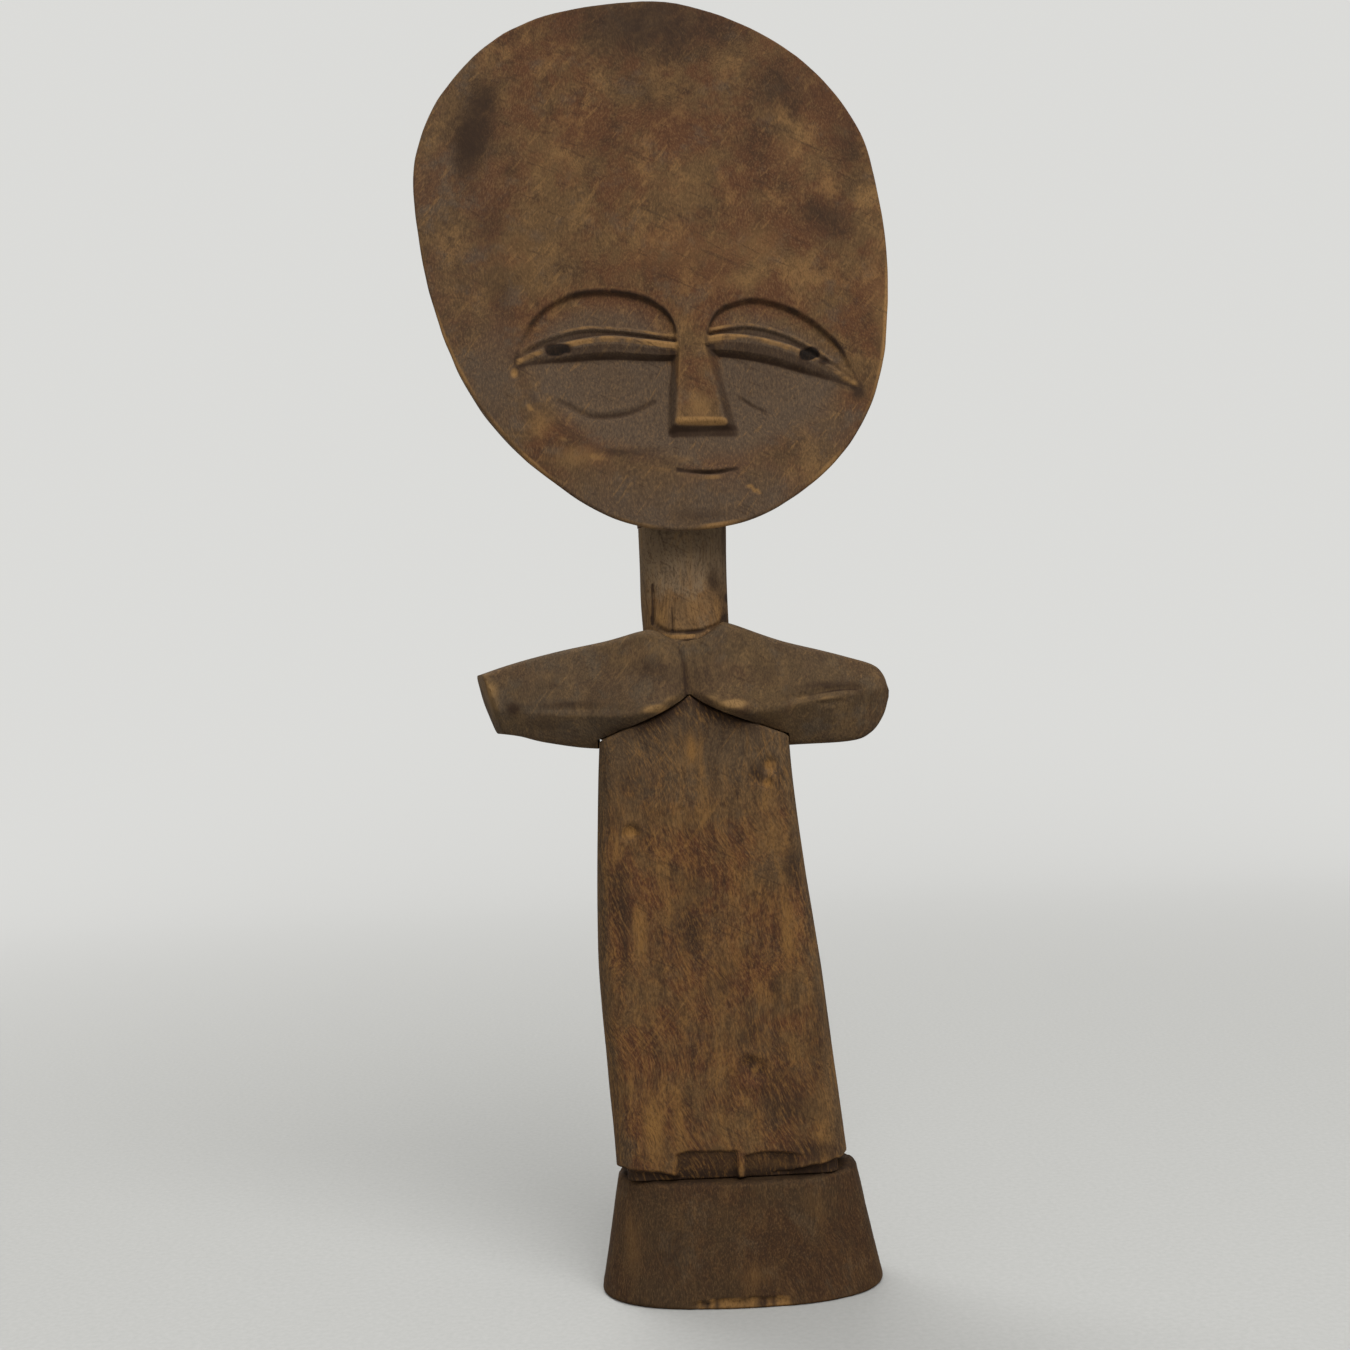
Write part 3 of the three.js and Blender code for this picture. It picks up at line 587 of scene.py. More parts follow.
def neck():
    cos, sin = full_turn(NECK_AROUND)
    out = (np.abs(cos) ** NECK_FLATNESS + np.abs(sin) ** NECK_FLATNESS) ** (-1 / NECK_FLATNESS)
    rings = []
    for z in np.linspace(NECK_LOW[2], NECK_HIGH[2], NECK_LEVELS):
        waist = NECK_WAIST * np.sin(np.pi * (z - NECK_LOW[2]) / (NECK_HIGH[2] - NECK_LOW[2]))
        x = (NECK_HALF_WIDTH - waist) * out * cos
        y = (NECK_HALF_DEPTH - waist) * out * sin
        ring = np.stack([NECK_X + x, y, 0 * cos + z], axis=1)
        seen = np.stack([ring[:, 0], ring[:, 2]], axis=1)
        cut = knife_cuts(seen, (NECK_SEAM, 1.7, 0.6), (NECK_CRACK, 0.8, 0.8), (NECK_SHORT_CRACK, 0.7, 0.6))
        cut *= smooth(-2, -6, y)
        shave = ripples(ring, (0.28, (4.5, 4.5, 16), 9), (0.08, (1.6, 1.6, 9), 10)) * smooth(162, 165, z)
        ring[:, 0] += (shave - cut) * cos
        ring[:, 1] += (shave - cut) * sin
        rings.append(ring)
    post = skin("carved_neck", rings)
    bore_for(post, "spine_dowel", "head_dowel")
    return post


# Body: a column that widens downwards, with a flat front and softened corners

BODY_LEFT = curve((BODY_FOOT, -30.2), (45, -30.8), (60, -31.7), (86, -32.7), (111, -32), (136, -30.8),
                  (BODY_PEAK, -30))
BODY_RIGHT = curve((BODY_FOOT, 27.3), (45, 26.2), (60, 25), (86, 22.9), (111, 20.4), (136, 18.2),
                   (BODY_PEAK, 17.5))
BODY_FOOT_FRONT = 14
BODY_TOP_FRONT = 12.5
BODY_CORNER = 6
BODY_SWELL = 0.5
FRONT_POINTS = 100
SIDE_POINTS = 22
CORNER_POINTS = 15
ROOF_SLOPE = 0.37
PEAK_SINK = 2.2
PEAK_REACH = 4
TOP_ROUND = 0.8
GROOVE_DEPTH = 2.6
GROOVE_TOP = curve((-33, 33.6), (-29, 33.3), (-24.4, 33), (-18, 32.5), (-14, 31.6), (-6, 31), (5, 31.2),
                   (15, 32), (22, 33.2), (28, 34.6))

# Left end, right end, top, and how softly the right end runs out
CHISEL_CUTS = ((-15.2, -0.3, 36.8, 0.5), (1.5, 14.5, 35.8, 3.5))

# Place across and up, reach and depth
KNOTS = ((12.2, 131, 2.6, 0.7), (10.8, 127.2, 1.9, 0.5), (-23, 116.1, 2.4, 0.8), (5.1, 56.3, 3.4, 0.8),
         (3, 58.5, 2.4, 0.5), (-10, 120.9, 1, 0.4))


def roof(x):
    """Height of the body's pointed top, where the breasts are cut under."""
    out = np.abs(x - NECK_X)
    return BODY_PEAK - ROOF_SLOPE * out - PEAK_SINK * (1 - np.exp(-out / PEAK_REACH))


def off_middle(x, z):
    """How far towards the body's sides: -1 on the left one and 1 on the right."""
    left, right = np.interp(z, *BODY_LEFT.T), np.interp(z, *BODY_RIGHT.T)
    return (x - (left + right) / 2) / ((right - left) / 2)


def body_outline(z, grow):
    """One level ring of the body, from the front's left round by the right."""
    left = np.interp(z, *BODY_LEFT.T) - grow
    right = np.interp(z, *BODY_RIGHT.T) + grow
    half_depth = np.interp(z, [BODY_FOOT, BODY_PEAK], [BODY_FOOT_FRONT, BODY_TOP_FRONT]) + grow
    low_x, high_x, high_y = left + BODY_CORNER, right - BODY_CORNER, half_depth - BODY_CORNER
    front_x = np.linspace(low_x, high_x, FRONT_POINTS)
    side_y = np.linspace(-high_y, high_y, SIDE_POINTS)
    bend = np.linspace(0, np.pi / 2, CORNER_POINTS)[1:-1]
    arc = BODY_CORNER * np.stack([np.sin(bend), -np.cos(bend)], axis=1)
    parts = []
    for x, y, corner in ((front_x, -half_depth, (high_x, -high_y)), (right, side_y, (high_x, high_y)),
                         (front_x[::-2], half_depth, (low_x, high_y)), (left, side_y[::-1], (low_x, -high_y))):
        parts += [np.stack(np.broadcast_arrays(x, y), axis=1), corner + arc]
        arc = np.stack([-arc[:, 1], arc[:, 0]], axis=1)
    return np.vstack(parts)


def foot_cuts(points):
    """Depth of the rough groove at the body's foot, and of the two chisel cuts at its front."""
    x, y, z = points.T
    ragged = ripples(points, (0.5, (1.2, 8, 9), 11), (0.5, (4, 8, 9), 12))
    groove = GROOVE_DEPTH * smooth(0, 1.6, height_along(GROOVE_TOP, x) + ragged - z)
    for left, right, top, fade in CHISEL_CUTS:
        arch = 0.7 * (1 - ((2 * x - left - right) / (right - left)) ** 2)
        edge = top + arch + 0.35 * ripple(points, (2.5, 8, 40), 13)
        across = window(x, left - 0.4, left + 0.4, right - fade, right + fade)
        depth = across * smooth(0, 0.7, edge - z) * (0.8 + 0.25 * (edge - z))
        groove = np.where(y < -8, np.maximum(groove, depth), groove)
    return groove


def body_blank(grow, levels, crown):
    """The body's plain form. Each upright line ends at its own height on the pointed top, which may be crowned."""
    rings = []
    for climb in levels:
        plan = body_outline(BODY_FOOT + climb * (BODY_PEAK - BODY_FOOT), grow)
        z = BODY_FOOT + climb * (roof(plan[:, 0]) + grow - BODY_FOOT)
        rings.append(np.column_stack([plan, z]))
    top = rings[-1]
    for share in (0.66, 0.33, 0.02):
        rings.append(top * (1, share, 1) + (0, 0, crown * (1 - share)))
    return np.array(rings)


def body():
    levels = np.concatenate([np.linspace(0, 0.075, 30), np.linspace(0.08, 1, 165)])
    rings = body_blank(0, levels, 2 * GLUE_LINE)
    shape = rings.shape
    points = rings.reshape(-1, 3)
    x, y, z = points.T
    sideways = off_middle(x, z)
    outward = np.stack([sideways, y / BODY_TOP_FRONT], axis=1)
    outward = np.sign(outward) * np.abs(outward) ** 5
    outward /= np.maximum(np.linalg.norm(outward, axis=1), 1e-6)[:, None]
    front = y < 0
    shave = ripples(points, (0.28, (9, 9, 34), 14), (0.1, (3.2, 5, 22), 15), (0.04, (1.1, 1.1, 12), 16))
    shave += front * BODY_SWELL * (1 - sideways**2)
    shave -= foot_cuts(points)
    for knot_x, knot_z, reach, depth in KNOTS:
        away = np.linalg.norm(points[:, [0, 2]] - (knot_x, knot_z), axis=1) + 0.5 * ripple(points, 1.6, 17)
        shave -= front * depth * (1 - smooth(0.3 * reach, reach, away))
        shave += front * 0.35 * depth * np.exp(-((away - 1.25 * reach) / (0.35 * reach)) ** 2)
    below = roof(x) - z
    shave = (shave - rounded(below, TOP_ROUND)) * (below > 0.02) - TOP_ROUND * (below <= 0.02)
    wall = np.repeat(np.arange(shape[0]) < len(levels), shape[1]) | (np.abs(y) > 5)
    points[:, :2] += outward * (shave * wall)[:, None]
    column = skin("carved_body", points.reshape(shape))
    bore_for(column, "spine_dowel", "foot_dowel_left", "foot_dowel_right")
    return column


# Yoke: chest, breasts and stub arms. Out is measured from the neck's middle, levels from the body's peak.

LEFT_ARM = 53.2
RIGHT_ARM = 50.6
RIGHT_TIP = 6
SHOULDER = 24
LEFT_TOP = curve((0, 13.6), (4, 14.3), (8, 16.2), (11.6, 16), (20, 14), (32, 12), (43, 9.7), (53.2, 7))
RIGHT_TOP = curve((0, 13.6), (4, 14.3), (8, 16.8), (10.9, 17.1), (24.5, 12), (39.2, 7.8), (46.5, 5.3),
                  (49.4, 2.4), (50.6, -1.6))
LEFT_BOTTOM = curve((0, -14), (24, -13), (40, -10.3), (53.2, -8.2))
RIGHT_BOTTOM = curve((0, -14.4), (24, -14.3), (40, -14), (45.6, -12.1), (49, -8), (50.6, -3.6))
LEFT_DEPTH = curve((0, 11.2), (24, 10.6), (40, 8.4), (53.2, 6.4))
RIGHT_DEPTH = curve((0, 11.2), (24, 10.6), (40, 8.2), (47, 5.6), (50.6, 2.2))

# Each arm's top, underside, depth and length, and how far its front ridge rises towards the tip
ARMS = ((LEFT_TOP, LEFT_BOTTOM, LEFT_DEPTH, LEFT_ARM, 2.8), (RIGHT_TOP, RIGHT_BOTTOM, RIGHT_DEPTH, RIGHT_ARM, 4.0))
BREAST_STAND = 4.6
BREAST_CREST = 10.5
BREAST_SIDE = 15
CHEST_FRONT = 1.9
CHEST_BACK = 3.0
RIDGE_SINK = 5
RIDGE_REACH = 8
SOCKET_AROUND = 96
CLEFT = curve((-9, 161), (-7.9, 156), (-7.7, 149))
LEFT_CREASE = curve((-54, 147.6), (-46, 147), (-36, 146.9), (-27, 146.4), (-20, 146))
RIGHT_CREASE = curve((14.5, 146.4), (22, 147.6), (30, 148.6), (37, 148.6))
RIGHT_LOW_CREASE = curve((24.5, 145.6), (32, 145.8))


def arm_ring(out):
    """The seven corners of one upright slice of the yoke, as depth and level, with how soft each corner is."""
    away = abs(out)
    *lines, reach, rise = ARMS[0] if out < 0 else ARMS[1]
    top, bottom, depth = (np.interp(away, *line.T) for line in lines)
    chest = 1 - smooth(4, SHOULDER, away)
    fall = BREAST_CREST if away < BREAST_CREST else BREAST_SIDE
    swell = BREAST_STAND * np.cos(np.pi / 2 * min(1, abs(away - BREAST_CREST) / fall))
    ridge = -RIDGE_SINK * (1 - math.exp(-((away / RIDGE_REACH) ** 2))) + rise * smooth(14, reach, away)
    ridge = min(max(ridge, bottom + 0.2), top - 0.2)
    front = depth + CHEST_FRONT * chest + swell
    top_front = depth * (0.55 + 0.43 * chest)
    middle = (top_front + front) / 2 + 0.6 * (1 - chest) - 0.22 * swell
    back = depth + CHEST_BACK * chest
    return [(back, ridge + 2, 0.3), (back * 0.62, top, 0.3), (-top_front, top, 0.2),
            (-middle, (top + ridge) / 2, 0.4), (-front, ridge, 0.1), (-depth * 0.5, bottom, 0.16),
            (back * 0.6, bottom, 0.25)]


def soften(corners):
    """A slice's outline as close points, with its corners rounded."""
    points = []
    bend = np.linspace(0, 1, 9)[:, None]
    for i, (y, z, soft) in enumerate(corners):
        here = np.array([y, z])
        before = np.array(corners[i - 1][:2])
        *following, next_soft = corners[(i + 1) % len(corners)]
        following = np.array(following)
        start = here + soft * (before - here)
        end = here + soft * (following - here)
        points.append((1 - bend) ** 2 * start + 2 * bend * (1 - bend) * here + bend**2 * end)
        next_start = following + next_soft * (here - following)
        points.append(end + (next_start - end) * np.linspace(0, 1, 18)[1:-1, None])
    return np.vstack(points)


def yoke():
    tip = RIGHT_ARM - RIGHT_TIP + RIGHT_TIP * np.sin(np.linspace(0, np.pi / 2, 20)[1:])
    rings = []
    for out in np.concatenate([np.linspace(-LEFT_ARM, RIGHT_ARM - RIGHT_TIP, 190), tip]):
        y, level = soften(arm_ring(out)).T
        slanted_end = 4.2 * (5.8 - level) / 13.9 + 0.34 * (6.4 - y) - 1.6
        x = NECK_X + out + smooth(-36, -LEFT_ARM, out) * slanted_end
        rings.append(np.column_stack([x, y, BODY_PEAK + level]))
    shape = np.shape(rings)
    points = np.array(rings).reshape(-1, 3)
    y = points[:, 1].copy()
    cut = (y < -2) * knife_cuts(points[:, [0, 2]], (CLEFT, 1.6, 0.8), (LEFT_CREASE, 3.4, 0.4),
                                (RIGHT_CREASE, 2.8, 0.6), (RIGHT_LOW_CREASE, 2, 0.5))
    shave = ripples(points, (0.35, (16, 9, 9), 20), (0.2, (7, 4, 4), 21), (0.05, (2, 2, 5), 22))
    points[:, 1] += np.where(y < 0, cut - shave, shave) * smooth(0, 3, np.abs(y))
    points[:, 2] += 0.2 * ripple(points, (12, 12, 12), 23)
    arms = skin("carved_yoke", points.reshape(shape)[::-1])
    neck_room = (NECK_HALF_WIDTH + GLUE_LINE, NECK_HALF_DEPTH + GLUE_LINE)
    for room in (skin("body_room", body_blank(CLOSE_SEAM, np.linspace(0, 1, 50), 0)), gable_room(),
                 rod("neck_socket", (NECK_X, 0), neck_room, NECK_LOW[2] - GLUE_LINE, NECK_HIGH[2], SOCKET_AROUND)):
        join_or_cut(arms, room, "DIFFERENCE")
    bore_for(arms, "spine_dowel")
    return arms


def gable_room():
    """The room below the body's pointed top, from the breasts' undercut to the back."""
    x = NECK_X + np.linspace(-SHOULDER + 0.6, SHOULDER - 0.6, 60)
    top = np.stack([x, roof(x) + CLOSE_SEAM], axis=1)
    outline = np.vstack([top, [[x[-1], BODY_PEAK - 40], [x[0], BODY_PEAK - 40]]])
    front = np.column_stack([outline[:, 0], np.full(len(outline), -BODY_TOP_FRONT - 20), outline[:, 1]])
    return skin("gable_room", [front * (1, -1, 1), front])


# Base: a flared oval plinth

BASE_TOP = np.array([30.0, 15.5])
BASE_SQUARENESS = 0.83
BASE_AROUND = 220
FOOT_ROUND = 1.1
LIP_ROUND = 1.2
CHIP_HEIGHT = 2.2
CHIP_DEPTH = 0.6
NUB_HEIGHT = 2.2
NUB_PLACE = (27.3, -3)


def base():
    foot, height = BASE_HIGH[:2], BASE_HIGH[2]
    around = np.stack(full_turn(BASE_AROUND), axis=1)
    around = np.sign(around) * np.abs(around) ** BASE_SQUARENESS
    quarter = np.linspace(0, np.pi / 2, 8)
    profile = [(0.0, -12), (0.0, -4.0)]
    profile += [(FOOT_ROUND * (1 - math.cos(a)), -FOOT_ROUND * (1 - math.sin(a))) for a in quarter]
    profile += [(z, 0.0) for z in np.linspace(1.5, height - LIP_ROUND, 62)]
    profile += [(height - LIP_ROUND + LIP_ROUND * math.sin(a), -LIP_ROUND * (1 - math.cos(a))) for a in quarter[1:]]
    profile += [(height, -4.0), (height, -8.0), (height, -12.0)]
    rings = []
    for z, inset in profile:
        half = foot + (BASE_TOP - foot) * z / height + inset
        ring = np.column_stack([around * half, np.full(len(around), z)])
        shave = ripples(ring, (0.3, (8, 8, 22), 30), (0.1, (3, 3, 14), 31), (0.05, (1, 1, 6), 32))
        chip_top = CHIP_HEIGHT + 1.2 * ripple(ring, (2.2, 30, 30), 33)
        chip_place = window(ring[:, 0], -14.5, -12, 9, 12) * (ring[:, 1] < 0)
        shave -= CHIP_DEPTH * chip_place * smooth(0, 0.5, chip_top - z)
        side = smooth(0, 1.5, z) * smooth(0, 1.5, height - z)
        ring[:, :2] += around * (shave * np.maximum(side, 0.35))[:, None]
        nub = np.exp(-(((ring[:, 0] - NUB_PLACE[0]) / 2.0) ** 2) - ((ring[:, 1] - NUB_PLACE[1]) / 3.5) ** 2)
        splinters = 0.45 * ripple(ring, (1.6, 1.6, 40), 34) * smooth(-2.5, -0.2, inset)
        ring[:, 2] += smooth(height - 4, height, z) * (NUB_HEIGHT * nub + splinters * (inset < 0))
        rings.append(ring)
    plinth = skin("carved_base", rings)
    bore_for(plinth, "foot_dowel_left", "foot_dowel_right")
    return plinth


# Marks on the wood: worn light with painted highlights, stains dark with painted shade, and dusty grey with painted
# sheen

NOSE_TIP = np.array([(0.2, 26.4), (11.2, 26.1)])
NOSE_FOOT = np.array([(-1, 24.2), (13.4, 23.9)])
NOSE_LEFT_EDGE = np.array([(1, 48), (0.1, 27)])
NOSE_RIGHT_EDGE = np.array([(7.4, 48), (11.2, 27)])
NOSE_RIGHT_SIDE = np.array([(8.6, 45), (13, 25.5)])
NOSE_LEFT_FOOT = np.array([(0.2, 46), (-1.8, 24)])
CHIN_NICK = np.array([(16.6, 9.9), (18.8, 8.1)])


def band(value, low, high):
    """1 between two values and 0 outside them, with soft ends."""
    return window(value, low - 0.3, low + 0.3, high - 0.3, high + 0.3)


def strokes(places, *lines):
    """Marks along lines of points, each given as its strength, line and width."""
    return sum(strength * (1 - smooth(0.2 * width, 0.5 * width, gap_to(places, line)))
               for strength, line, width in lines)


def eye_marks(places):
    """Worn lid edges with painted highlights on them, and painted shade in the slits, under the lower lids, in the
    crease below them and under the brows.
    """
    across, up = places.T
    patchy = 0.62 + ripples(upright(places), (0.5, (5, 5, 5), 45), (0.4, (1.6, 1.6, 1.2), 46))
    light = 0 * up
    dark = 0 * up
    for eye in EYES:
        brow, start, end = eye[0], eye[4], eye[5]
        brow_at, lid_at, ridge_at, _, _, crease_at = eye_levels(eye, across)
        span = window(across, start - 0.5, start + 1.5, end - 1.5, end + 0.5)
        # The lids' edges: wear with a painted highlight on them.
        edges = 0.9 * band(up, ridge_at - 0.5, ridge_at + 1.2) + 0.5 * band(up, lid_at - 0.2, lid_at + 0.8)
        light += span * patchy * (edges + 0.3 * band(up, brow_at + 0.3, brow_at + 0.9))
        # Painted shade: the crease below the lower lid, the shadow under the brow step, the slit and the lower
        # lid's underside.
        crease = window(up, crease_at - 1.4, crease_at, crease_at + 0.2, crease_at + 1.3)
        brow_shadow = window(up, brow_at - 1.7, brow_at - 0.8, brow_at - 0.4, brow_at + 0.2)
        brow_shadow *= 0.4 + 0.6 * np.clip(patchy, 0, 1)
        slit = band(up, ridge_at + 1.4, lid_at - 0.6) * (1 - 0.6 * smooth(34, 42, across))
        underside = band(up, crease_at, ridge_at - 0.9)
        # Painted shadow of the brow step, along the brow line.
        dark += np.clip(patchy, 0.3, 1) * strokes(places, (0.5, brow, 1.5))
        dark += span * (0.55 * slit + 0.6 * underside + 0.3 * crease + 0.6 * brow_shadow)
    return light, dark


def head_marks(points, edge, hollow):
    places = on_head(points)
    across, up = places.T
    deep = upright(places)
    out = -(points[:, 1] - CHIN_Y - up * TILT_SIN) / TILT_COS
    front = smooth(-3.5, -1, out)
    patchy = 0.7 + 0.5 * ripple(deep, (4, 4, 4), 47)
    broken = smooth(-0.1, 0.5, ripple(deep, (3, 3, 2), 52)) * smooth(38, 32, up)
    eye_light, eye_dark = eye_marks(places)
    pupils = 0.72 * blot(places, LEFT_PUPIL) + 0.9 * blot(places, RIGHT_PUPIL)
    pupils = np.clip(pupils + spots(places, (36.6, 40.8, 2.2, 1.8, 0.7)), 0, 1)

    # Painted shade in the mouth's cut, the cheek creases, under the nose, beside it, and above the jaw's step.
    lines = strokes(
        places, (1, MOUTH, 1.5), (0.55, LEFT_CHEEK, 2.2), (0.5, RIGHT_CHEEK, 1.8), (0.8, NOSE_FOOT, 4),
        (0.35, NOSE_LEFT_FOOT, 3.4), (0.6, NOSE_RIGHT_SIDE, 3.4), (0.4, LEFT_JAW + (0.6, 1.6), 3.6))
    stains = spots(
        places, (-47.5, 108, 10, 18, 0.95), (-43.5, 117, 7, 9, 0.5), (-51, 97, 7, 14, 0.6),
        (-39.5, 94.6, 3.4, 3.4, 0.6), (40, 78, 13, 13, 0.7), (31, 114, 20, 15, 0.65), (-2, 134, 46, 22, 0.85),
        (1, 112, 20, 12, 0.45), (20, 99, 15, 11, 0.4), (-43, 64, 7, 11, 0.5), (-45, 80, 8, 12, 0.5),
        (44.6, 32.5, 3.5, 4, 0.9), (-10, 20, 14, 2.2, 0.5), (4.3, 3, 16, 3.6, 0.5), (12, 88, 10, 8, 0.25),
        (-15, 100, 14, 10, 0.25), (46, 100, 10, 18, 0.55))
    behind = 0.5 * smooth(0, 0.9, ripple(deep, (18, 18, 34), 51))
    # Painted shade in the hollows, the carved lines and the eyes, over the real stains.
    dark = np.clip(0.3 * hollow + front * (lines + eye_dark + stains) + (1 - front) * behind, 0, 1)
    dark = dark * (1 - pupils) + 2 * front * pupils

    from_middle = places - FACE_MIDDLE
    gap = rim_reach(np.arctan2(from_middle[:, 1], from_middle[:, 0])) - np.linalg.norm(from_middle, axis=1)
    # A painted highlight where the lower rim's bevel catches the light, broken up.
    rim = band(gap, -0.5, 1.0) * smooth(-2.5, -1, out) * (1 - smooth(60, 90, up))
    rim *= 0.15 + 0.6 * ripple(deep, 9, 48)
    edges = strokes(places, (0.9, NOSE_TIP, 2.6), (0.3, NOSE_LEFT_EDGE, 2.4), (0.2, NOSE_RIGHT_EDGE, 3),
                    (0.5, MOUTH - (0, 1.3), 1.6), (0.6 * broken, LEFT_JAW - (0.4, 0.6), 1.8))
    glows = spots(
        places, (-29.7, 95, 20, 20, 0.25), (3.7, 86, 16, 13, 0.25), (-36, 72, 14, 15, 0.3), (31.4, 98, 9, 12, 0.3),
        (16.3, 61.4, 14, 4, 0.35), (-25, 19, 12, 6, 0.45), (-34, 27.6, 8, 6, 0.4), (-39.8, 41, 1.6, 2.2, 1.0),
        (51.6, 56, 5, 34, 0.35), (5, 30, 7, 8, 0.5), (4, 70, 34, 12, 0.3), (1.5, 17, 4, 2.4, 0.45),
        (-17, 63.4, 18, 2.4, 0.15), (24, 72, 12, 16, 0.25))
    nick = strokes(places, (0.7, CHIN_NICK, 1.6))
    light = (0.2 * edge + front * (eye_light + patchy * edges + nick + glows) + rim) * (1 - pupils)

    nose = window(across, -0.6, 0.6, 9, 12.5) * band(up, 26, 52)
    cheeks = inside(places, HOLLOW_OUTLINE) * smooth(0, 8, gap_to(places, HOLLOW_OUTLINE))
    lids = smooth(-0.5, 1, up - np.maximum(height_along(LEFT_LID, across), height_along(RIGHT_LID, across)))
    chin = smooth(28, 4, up) * (1 - smooth(20, 40, np.abs(across)))
    dust_and_sheen = 0.85 * cheeks * (1 - 0.2 * lids) + 0.75 * chin + 0.35 * smooth(20, 60, -across)
    dust_and_sheen += spots(places, (-44, 38, 14, 26, 0.55), (37, 24, 16, 14, 0.6))
    return light, dark, front * dust_and_sheen * (1 - 0.9 * nose)


def neck_marks(points, edge, hollow):
    seen = points[:, [0, 2]]
    front = smooth(-2, -6, points[:, 1])
    light = 0.6 * edge + front * (strokes(seen, (0.9, NECK_LIP, 1.3)) + spots(
        seen, (-13, 169, 3, 4, 0.7), (-5, 171, 4, 8, 0.45), (-16, 176, 2, 9, 0.4)))
    broken = 0.6 + 0.6 * ripple(points, (1.6, 4, 1.6), 54)
    cracks = strokes(seen, (0.6 * broken, NECK_SEAM, 1.9), (1, NECK_CRACK, 1.1), (0.9, NECK_FOOT_LINE, 1.1),
                     (0.7, NECK_SHORT_CRACK, 0.9))
    notch = spot(points, (3.4, -3.4, 173), (1.8, 2.4, 1.8))
    # Painted shade: the neck darkens towards its sides as they turn from the light, and in its hollows.
    sides = smooth(0.72, 1, np.abs(points[:, 0] - NECK_X) / NECK_HALF_WIDTH)
    dark = 0.6 * hollow + notch + 0.35 * sides + 0.3 * smooth(0.1, 0.7, ripple(points, (5, 5, 9), 53))
    dark += front * (cracks + spots(seen, (0.5, 176, 3.4, 8, 0.5), (3, 168, 3, 6, 0.4)))
    return light, np.clip(dark, 0, 1), 0.9 * smooth(170, 182, points[:, 2])


def yoke_marks(points, edge, hollow):
    seen = points[:, [0, 2]]
    front = smooth(1, -3, points[:, 1])
    patchy = 0.7 + 0.6 * ripple(points, (3, 3, 3), 49)
    # Among the lighter marks: wear on the breasts' lower edges with a painted highlight on them, and painted light
    # on the left arm's end facet.
    glows = spots(
        seen, (-15.4, 146.2, 7, 2.2, 0.75), (-11, 148.4, 3.6, 1.6, 0.5), (3.4, 146.6, 7, 2.2, 0.75),
        (-1, 148.6, 3.6, 1.6, 0.5), (-57.5, 149, 4.5, 11, 1.3), (-15.4, 146.2, 4, 1.3, 0.7),
        (4.2, 146.7, 4, 1.3, 0.7), (1, 157, 7, 7, 0.4), (-36, 145, 15, 1.6, 0.4), (22, 147.2, 15, 1.8, 0.5),
        (-42, 155, 14, 4, 0.35), (24, 155, 14, 4, 0.25), (30, 141, 8, 3, 0.3), (-22, 158, 8, 4, 0.3))
    # Among the darker marks, those just below the breasts are painted shadow.
    stains = spots(
        seen, (-51, 147.6, 3.6, 3.6, 0.8), (-16, 156, 9, 7, 0.6), (-8, 153, 9, 7, 0.3), (-38, 148.2, 15, 2, 0.6),
        (-41, 153, 5, 2, 0.5), (28, 150, 13, 2.4, 0.8), (13, 154, 7, 6, 0.5), (36, 147, 4, 4, 0.4),
        (-20, 141.5, 10, 3, 0.6), (7, 142.5, 9, 3, 0.6), (-42, 143, 9, 2.4, 0.4))
    light = patchy * (0.4 * edge + front * glows)
    # Painted shade in the hollows.
    dark = 0.8 * hollow + front * (strokes(seen, (0.6, CLEFT, 1.3)) + stains)
    dust_and_sheen = 0.25 + 0.3 * ripple(points, 18, 41) + spots(seen, (-33, 142, 14, 6, 0.5))
    dust_and_sheen += 0.3 * smooth(16, 36, np.abs(points[:, 0] - NECK_X))
    return light, np.clip(dark, 0, 1), dust_and_sheen


